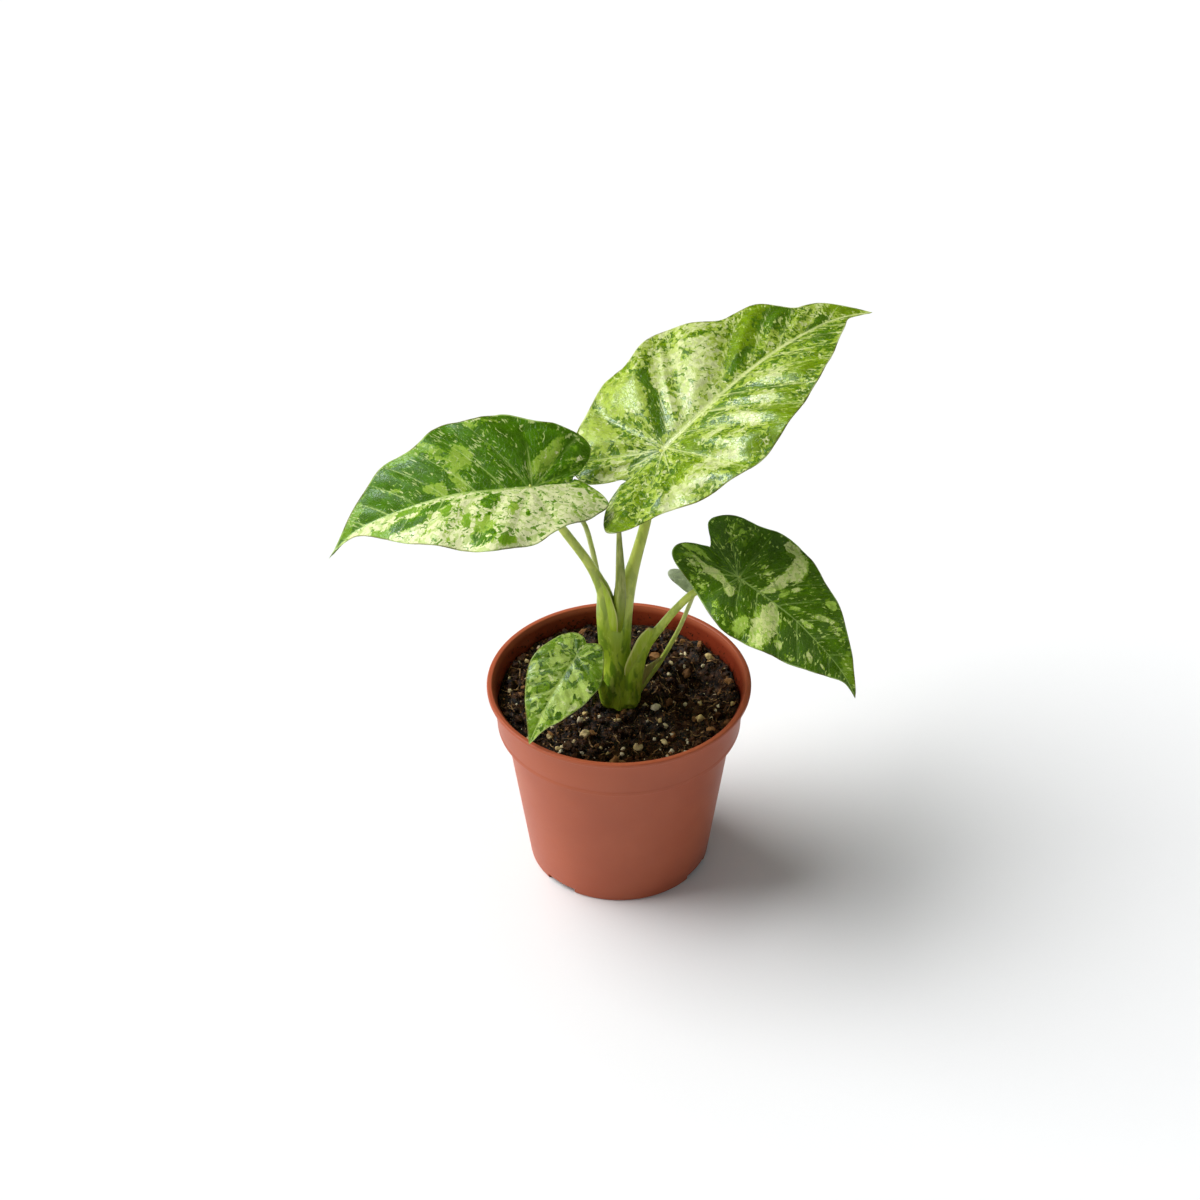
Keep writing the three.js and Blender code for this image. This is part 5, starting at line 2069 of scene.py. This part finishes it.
LEFT_PATCHES = patches(
    (450, 200, 160, 140, 0, PALE), (240, 100, 55, 35, 40, DARK), (270, 120, 40, 30, 90, DARK),
    (350, 350, 65, 60, 60, DARK), (330, 360, 15, 15, 0, CREAM), (250, 410, 60, 30, 0, GREEN),
    (290, 200, 18, 12, 40, DARK), (340, 200, 18, 12, 0, DARK), (80, 245, 20, 13, 30, DARK),
    (470, 110, 35, 20, 60, GREEN), (400, 210, 50, 20, 70, GREEN), (330, 270, 50, 40, 60, LIME),
    (520, 55, 90, 30, 20, DARK), (660, 95, 90, 35, -10, DARK), (620, 20, 70, 20, 0, GREEN),
    (780, 80, 60, 22, -30, GREEN), (730, 30, 50, 18, -10, CREAM), (-270, 50, 80, 40, 10, LIVELY),
    (-340, 120, 50, 40, 80, MOTTLED), (150, 190, 60, 30, 60, LIME), (-200, 220, 140, 90, 20, PALE),
    (-130, -140, 150, 42, 42, LIME), (340, -200, 80, 65, -60, LIME), (360, -80, 90, 30, -60, LIME),
    (480, -55, 60, 25, -35, LIME), (430, -200, 120, 22, -60, LIVELY),
    (470, -300, 60, 20, -45, LIME), (580, -300, 90, 25, 10, GREEN), (880, -90, 80, 30, 50, GREEN),
    (180, -370, 120, 25, -10, LIVELY), (660, -130, 40, 12, -20, MOTTLED),
    (-280, -100, 70, 30, 40, FLECKED), (-120, 0, 120, 20, 172, LIVELY),
)

RIGHT_PATCHES = patches(
    (120, 360, 59.4, 54, -60, CREAM), (190, 330, 64.8, 41, -30, CREAM),
    (235, 250, 75.6, 57, -90, CREAM), (215, 140, 97.2, 38, 75, CREAM), (180, 45, 54, 19, 55, CREAM),
    (270, 80, 60, 20, 70, LIVELY), (130, 310, 30, 20, 0, GREEN), (550, 170, 75.6, 18, 35, PALE),
    (380, 60, 48.6, 14, 45, LIME), (500, 50, 37.8, 16, 40, PALE), (310, 160, 43.2, 14, 60, PALE),
    (400, 290, 50, 20, 40, FLECKED), (520, 260, 37.8, 18, 40, LIME),
    (650, 170, 80, 50, -20, FLECKED), (860, 70, 100, 40, -30, GREEN),
    (-200, 200, 100, 100, 0, FLECKED), (100, 100, 60, 80, 60, FLECKED),
    (330, -200, 151, 84, -65, PALE), (300, -110, 64.8, 41, -60, CREAM),
    (270, -50, 54, 27, -60, CREAM), (360, -310, 64.8, 68, 0, PALE),
    (230, -330, 75.6, 41, -80, LIME), (100, -360, 100, 40, -20, LIVELY),
    (-120, -150, 173, 32, 0, CREAM), (-260, -190, 100, 35, -20, MOTTLED),
    (-330, -100, 97.2, 23, 10, LIME), (20, -190, 43.2, 27, -20, CREAM),
    (-150, -270, 100, 30, 0, LIVELY), (640, -110, 32.4, 20, -40, PALE),
    (740, -80, 21.6, 14, 0, PALE), (470, -230, 27, 27, 0, PALE), (600, -200, 80, 20, 30, FLECKED),
)

FRONT_PATCHES = patches(
    (120, -130, 90, 30, -60, LIME), (40, -210, 90, 30, 30, LIME), (100, -310, 120, 40, 0, GREEN),
    (330, -100, 60, 12, -60, LIME), (500, -50, 60, 14, -50, LIME), (350, -300, 140, 50, 15, LIVELY),
    (850, -40, 140, 60, 0, GREEN), (330, 270, 100, 60, 40, LIME), (550, 150, 140, 80, 20, LIME),
    (520, 280, 80, 30, -30, PALE), (-150, 150, 80, 40, -40, LIVELY), (100, 300, 140, 60, 20, GREEN),
    (650, 180, 50, 40, 0, DARK),
)

BACK_PATCHES = patches(
    (300, 150, 120, 60, 50, LIVELY),
)

REAR_PATCHES = patches(
    (300, -150, 120, 60, -50, LIME), (100, 200, 100, 50, 60, CREAM),
)

# The stem's stalks: the petioles, then the two sheaths, the trunk and the corm in the soil
STALKS = (
    Stalk(route(
        (-1.5, 1.5, 84, 5.6), (-2.2, 1.2, 110, 5), (-4.6, 0.6, 133, 4.7), (-7, 0, 147.7, 3.1),
        (-13.2, -1, 163.2, 2.2), (-24.5, -3.5, 183.7, 1.95), (-32.6, -6, 200, 1.8),
        (-38.6, -10.4, 210.3, 1.5),
    )),
    Stalk(route(
        (1.4, 0.6, 84, 6), (0.2, 0.6, 110, 5.3), (1.2, 1, 131, 4.8), (3.6, 2.5, 146, 3.9),
        (7.3, 5, 160.3, 2.8), (11.7, 10, 175.7, 2.4), (16.2, 18, 193.8, 2.25),
        (19.6, 23.6, 205.9, 1.7),
    )),
    Stalk(route(
        (4.4, -2.4, 84, 4.2), (5, -3, 98, 3.7), (7.2, -3.2, 110, 3.3), (12, -3.8, 120, 2.6),
        (18, -4.8, 130, 2.05), (25.2, -6, 141.5, 1.8), (33, -7.5, 151.5, 1.7),
        (43, -9.8, 159.5, 1.6), (53.2, -13.0, 163.3, 1.3),
    )),
    Stalk(route(
        (-4.5, -2.9, 84, 3), (-6, -5.2, 92, 2.9), (-8.9, -9, 104.5, 1.6), (-13, -14, 116.5, 1.3),
        (-18.6, -18.8, 124.9, 1),
    ), 0.4),
    Stalk(route(
        (6, 3, 84, 2.6), (9.8, 4.4, 90, 2.1), (13.8, 5.4, 95, 1.5), (18.8, 7, 102, 1.25),
        (27, 10, 117.7, 1.1), (33.4, 14, 133.4, 1.0), (37, 16, 143.4, 0.8),
    ), -0.5),
    # The rear petiole: its low age paints it paler, partly its own colour and partly painted light
    # where it lies in shade
    Stalk(route(
        (-1.5, 4.4, 84, 3.4), (-4, 6, 110, 2.6), (-7.4, 7.5, 136.7, 1.5), (-9.2, 9, 149.4, 1.3),
        (-11.6, 12, 161.5, 1.25), (-14.6, 16.6, 170.9, 1.2), (-18.8, 20.5, 175.2, 1.1),
        (-23.2, 23.9, 176.2, 0.9),
    ), -0.4),
    Stalk(route(
        (-1.6, 0.8, 96, 3.6), (-3.2, 0.8, 112, 5.3), (-5, 0.4, 133, 5), (-6.6, 0, 147, 3.3),
        (-9.6, -0.5, 155, 2.5),
    ), 0.2),
    Stalk(route(
        (5.2, -3, 88, 4.5), (7.4, -3.3, 108, 4.2), (11.6, -3.9, 120, 2.9), (14.5, -4.4, 127, 2.3),
    ), 0.35),
    Stalk(route(
        (0.9, -0.2, 82, 7.3), (0.7, -0.2, 90, 7), (-0.4, 0, 98, 6.5), (-1.1, 0.2, 112, 5.9),
        (-1.6, 0.4, 122, 6.3), (-1.9, 0.9, 131, 5.9), (-1.9, 1.4, 138, 4.6), (-1.8, 1.6, 142, 2.6),
    ), 0.5),
    Stalk(route(
        (0.8, 0, 58, 4), (0.8, 0, 61, 8.4), (0.8, 0, 70, 9.4), (0.8, 0, 82, 9),
        (0.8, 0, 85.5, 7), (0.8, 0, 87, 4),
    ), 0.2),
)
SPEAR = route(
    (-0.2, -0.8, 118, 1.2), (0.0, -3.3, 129, 1.9), (0.4, -3.5, 138, 2.5), (0.6, -2.9, 147, 2.7),
    (0.7, -2.2, 154, 2.3), (0.6, -1.6, 161.2, 1.95), (0.2, 0, 176.4, 1.15), (0, 1.2, 188, 0.65),
    (-0.1, 1.8, 194, 0.35),
)
SHEATHS = (
    Sheath(
        route(
            (7.5, -4.6, 104), (8.5, -5, 110), (12.4, -5.2, 119.5), (15.8, -5.2, 126.5),
            (16.6, -5.2, 130.4),
        ),
        route(
            (2.4, -5.2, 104), (2.6, -6.8, 110), (5.2, -7.4, 118.5), (8.8, -7.2, 127),
            (13.2, -6.2, 131.6),
        ),
        bulge=0.9 * MM, dry=0.0,
    ),
    Sheath(
        route(
            (-4.0, -4.4, 129), (-4.8, -4.2, 134), (-5.8, -3.4, 140), (-7.6, -2.2, 148),
            (-9.6, -1.6, 154), (-11.2, -1.4, 157.6),
        ),
        route(
            (-0.6, -5.8, 129), (-0.5, -6.4, 134), (-1.2, -6.0, 139.5), (-2.8, -4.8, 145),
            (-4.8, -3.6, 150.4), (-8.4, -2.3, 156.6),
        ),
        bulge=0.3 * MM, dry=0.0,
    ),
    Sheath(
        route((9.5, 3.8, 87), (12.6, 4.6, 94), (16.2, 5.6, 100), (20.4, 7.2, 105.6)),
        route((8.2, 2.6, 87), (9.4, 2.2, 95), (11.6, 3, 101.5), (18.4, 5.6, 105.4)),
        bulge=0.5 * MM, dry=1.0,
    ),
)

CREAM_TONES = BladeFinish(
    dark=srgb(78, 116, 0), green=srgb(114, 146, 4), lime=srgb(164, 188, 70),
    cream=srgb(206, 216, 146), vein=srgb(206, 216, 142), underside=srgb(158, 184, 112),
    veins=0.6, streaks=0.5, fleck_size=0.34, flecks=0.9, dots=0.95, dot_limit=0.62, greyed=0.1,
    drawn=0.3, stretch=0.7, depth=0.72,
)
LEFT_TONES = BladeFinish(
    dark=srgb(76, 122, 0), green=srgb(112, 156, 30), lime=srgb(148, 182, 62),
    cream=srgb(224, 228, 170), vein=srgb(176, 202, 108), veins=0.75, streaks=0.15,
    fleck_size=0.42, flecks=0.85, dots=0.95, greyed=0.12, depth=0.9, gloss=0.3,
)
RIGHT_TONES = BladeFinish(
    dark=srgb(86, 128, 0), green=srgb(122, 162, 30), lime=srgb(184, 222, 84),
    cream=srgb(240, 252, 160), vein=srgb(178, 210, 110), veins=0.6, streaks=0.1,
    fleck_size=0.45, flecks=0.95, dots=0.5, greyed=0.5, drawn=0.6, depth=0.88,
)
FRONT_TONES = BladeFinish(
    dark=srgb(68, 104, 2), green=srgb(112, 148, 30), lime=srgb(176, 202, 92),
    cream=srgb(218, 228, 156), vein=srgb(168, 190, 100), veins=0.4, streaks=0.05,
    fleck_size=0.26, flecks=0.35, dots=0.3, grey=srgb(86, 118, 52), greyed=0.5, drawn=0.2,
    stretch=0.9, gloss=0.55,
)
GREY_TONES = BladeFinish(
    dark=srgb(186, 198, 162), green=srgb(200, 210, 178), lime=srgb(214, 222, 194),
    cream=srgb(232, 236, 210), vein=srgb(214, 222, 190), underside=srgb(200, 210, 180),
    veins=0.4, streaks=0.1, fleck_size=0.45, flecks=0.3, dots=0.3, grey=srgb(180, 194, 160),
)

TOP_LEFT_VEINS = (
    Vein(-0.01, -2.7), Vein(-0.01, -1.0), Vein(0.0, -0.1), Vein(0.025, 0.78), Vein(0.116, 0.71),
    Vein(0.284, 1.2, 0.9), Vein(0.45, 1.3, 0.9), Vein(0.588, 1.5), Vein(0.72, 1.6), Vein(0.82, 1.6),
)
TOP_RIGHT_VEINS = (
    Vein(-0.01, -1.5), Vein(-0.01, -0.6), Vein(0.0, 0.2), Vein(0.08, 0.6), Vein(0.19, 0.7),
    Vein(0.283, 0.83), Vein(0.40, 1.2), Vein(0.52, 1.4), Vein(0.64, 1.5), Vein(0.75, 1.6),
    Vein(0.84, 1.7),
)


def blades() -> list[Blade]:
    """The six blades with their finishes.

    Returns:
        The blades.
    """
    pale, dark = "leaf_blade", "leaf_blade_dark"
    left = Blade(
        "left_blade", "blade_left", pale, LEFT_SHAPE, LEFT_TONES, LEFT_PATCHES,
        CREAM, DARK, Detail.MIDDLE, rib_width=0.009,
    )
    top = Blade(
        "top_blade", "blade_top", pale, TOP_SHAPE, CREAM_TONES, TOP_PATCHES,
        MOTTLED, LIVELY, Detail.LARGE, TOP_LEFT_VEINS, TOP_RIGHT_VEINS,
        quilt=0.02, vein_width=0.042,
    )
    right = Blade(
        "right_blade", "blade_right", dark, RIGHT_SHAPE, RIGHT_TONES, RIGHT_PATCHES,
        DARK, DARK, Detail.MIDDLE, rib_width=0.008,
    )
    front = Blade(
        "front_blade", "blade_front", dark, FRONT_SHAPE, FRONT_TONES, FRONT_PATCHES,
        LEAFY, LEAFY, Detail.SMALL,
    )
    back = Blade(
        "back_blade", "blade_back", dark, BACK_SHAPE, GREY_TONES, BACK_PATCHES,
        GREEN, GREEN, Detail.TINY,
    )
    rear = Blade(
        "rear_blade", "blade_rear", dark, REAR_SHAPE, LEFT_TONES, REAR_PATCHES,
        FLECKED, FLECKED, Detail.TINY,
    )
    return [left, top, right, front, back, rear]


# Studio


@dataclass
class Studio:
    """A pale floor, soft lights from the upper left and a camera at the photo's angle.

    Each light is a disc in the sky, with its azimuth from +X and its elevation.
    Angles are in degrees.
    """

    floor_size: float = 3.0
    target: Place = (-8.29 * MM, 0.0, 142.26 * MM)
    distance: float = 1107 * MM
    elevation: float = 36.45
    roll: float = 0.45
    lens: float = 75.0
    sensor: float = 36.0
    key: tuple[float, float] = (161.0, 51.0)
    side: tuple[float, float] = (184.0, 7.0)
    key_width: float = 54.0
    key_strength: float = 3.65
    side_width: float = 40.0
    side_strength: float = 1.3
    shine_width: float = 26.0
    shine_strength: float = 2.2
    shine_colour: Colour = (0.84, 0.93, 1.0)
    sky: float = 0.24
    sky_colour: Colour = (0.94, 0.98, 1.0)

    def floor(self) -> None:
        """Lay the floor under the pot."""
        half = self.floor_size / 2
        points = np.array([[-half, -half, 0], [half, -half, 0], [half, half, 0], [-half, half, 0]])
        plane = mesh_piece("floor", points, np.array([[0, 1, 2, 3]]), smooth=False)
        graph = Graph("paper")
        grain = graph.noise(graph.object_place(), 900.0, 2.0)
        colour = graph.mix(grain, (0.86, 0.86, 0.86), (0.88, 0.88, 0.88))
        plane.data.materials.append(graph.finish(colour, 0.9))

    def sun(
        self, name: str, place: tuple[float, float], width: float, strength: float, shine: bool
    ) -> None:
        """Add a soft disc in the sky.

        Args:
            name: The light's name.
            place: The disc's azimuth from +X and its elevation, in degrees.
            width: The disc's width, in degrees.
            strength: Its power on a surface that faces it.
            shine: Whether it only makes highlights, or only lights.
        """
        lamp = bpy.data.lights.new(name, "SUN")
        lamp.angle = math.radians(width)
        lamp.energy = strength
        lamp.color = self.shine_colour if shine else (1.0, 1.0, 1.0)
        item = linked(name, lamp)
        item.visible_glossy = shine
        item.visible_diffuse = not shine
        turn, rise = (math.radians(angle) for angle in place)
        flat_x, flat_y = math.cos(turn), math.sin(turn)
        towards = Vector((math.cos(rise) * flat_x, math.cos(rise) * flat_y, math.sin(rise)))
        item.rotation_euler = towards.to_track_quat("Z", "Y").to_euler()

    def camera(self) -> None:
        """Set the camera that the photo's outlines were fitted with."""
        tilt, roll = math.radians(self.elevation), math.radians(self.roll)
        right = np.array([1.0, 0.0, 0.0])
        up = np.array([0.0, math.sin(tilt), math.cos(tilt)])
        back = np.array([0.0, -math.cos(tilt), math.sin(tilt)])
        turned_right = math.cos(roll) * right - math.sin(roll) * up
        turned_up = math.sin(roll) * right + math.cos(roll) * up
        place = np.array(self.target) + back * self.distance
        camera = bpy.data.cameras.new("camera")
        camera.lens = self.lens
        camera.sensor_width = self.sensor
        item = linked("camera", camera)
        axes = np.column_stack([turned_right, turned_up, back, place])
        item.matrix_world = Matrix(np.vstack([axes, [0, 0, 0, 1]]).tolist())
        bpy.context.scene.camera = item

    def build(self) -> None:
        """Set the floor, lights, surroundings and camera."""
        self.floor()
        self.sun("key", self.key, self.key_width, self.key_strength, False)
        self.sun("side", self.side, self.side_width, self.side_strength, False)
        self.sun("shine", self.key, self.shine_width, self.shine_strength, True)
        world = bpy.data.worlds.new("surroundings")
        world.use_nodes = True
        background = world.node_tree.nodes["Background"]
        background.inputs["Color"].default_value = (*self.sky_colour, 1.0)
        background.inputs["Strength"].default_value = self.sky
        world.cycles_visibility.glossy = False
        bpy.context.scene.world = world
        bpy.context.scene.view_settings.view_transform = "Standard"
        self.camera()


def main() -> None:
    """Build every piece and report it."""
    logging.basicConfig(level=logging.INFO, format="%(name)s: %(message)s")
    makers = [NurseryPot(), Stem(STALKS), SheathSet(SHEATHS), NewLeaf(SPEAR), *blades()]
    pieces = []
    for maker in makers:
        piece = maker.build()
        maker.dress(piece)
        pieces.append(piece)
    pieces += PottingSoil().build()
    for piece in pieces:
        mesh = piece.data
        log.info("%s: %d points, %d faces", piece.name, len(mesh.vertices), len(mesh.polygons))
    Studio().build()


if __name__ == "__main__":
    main()
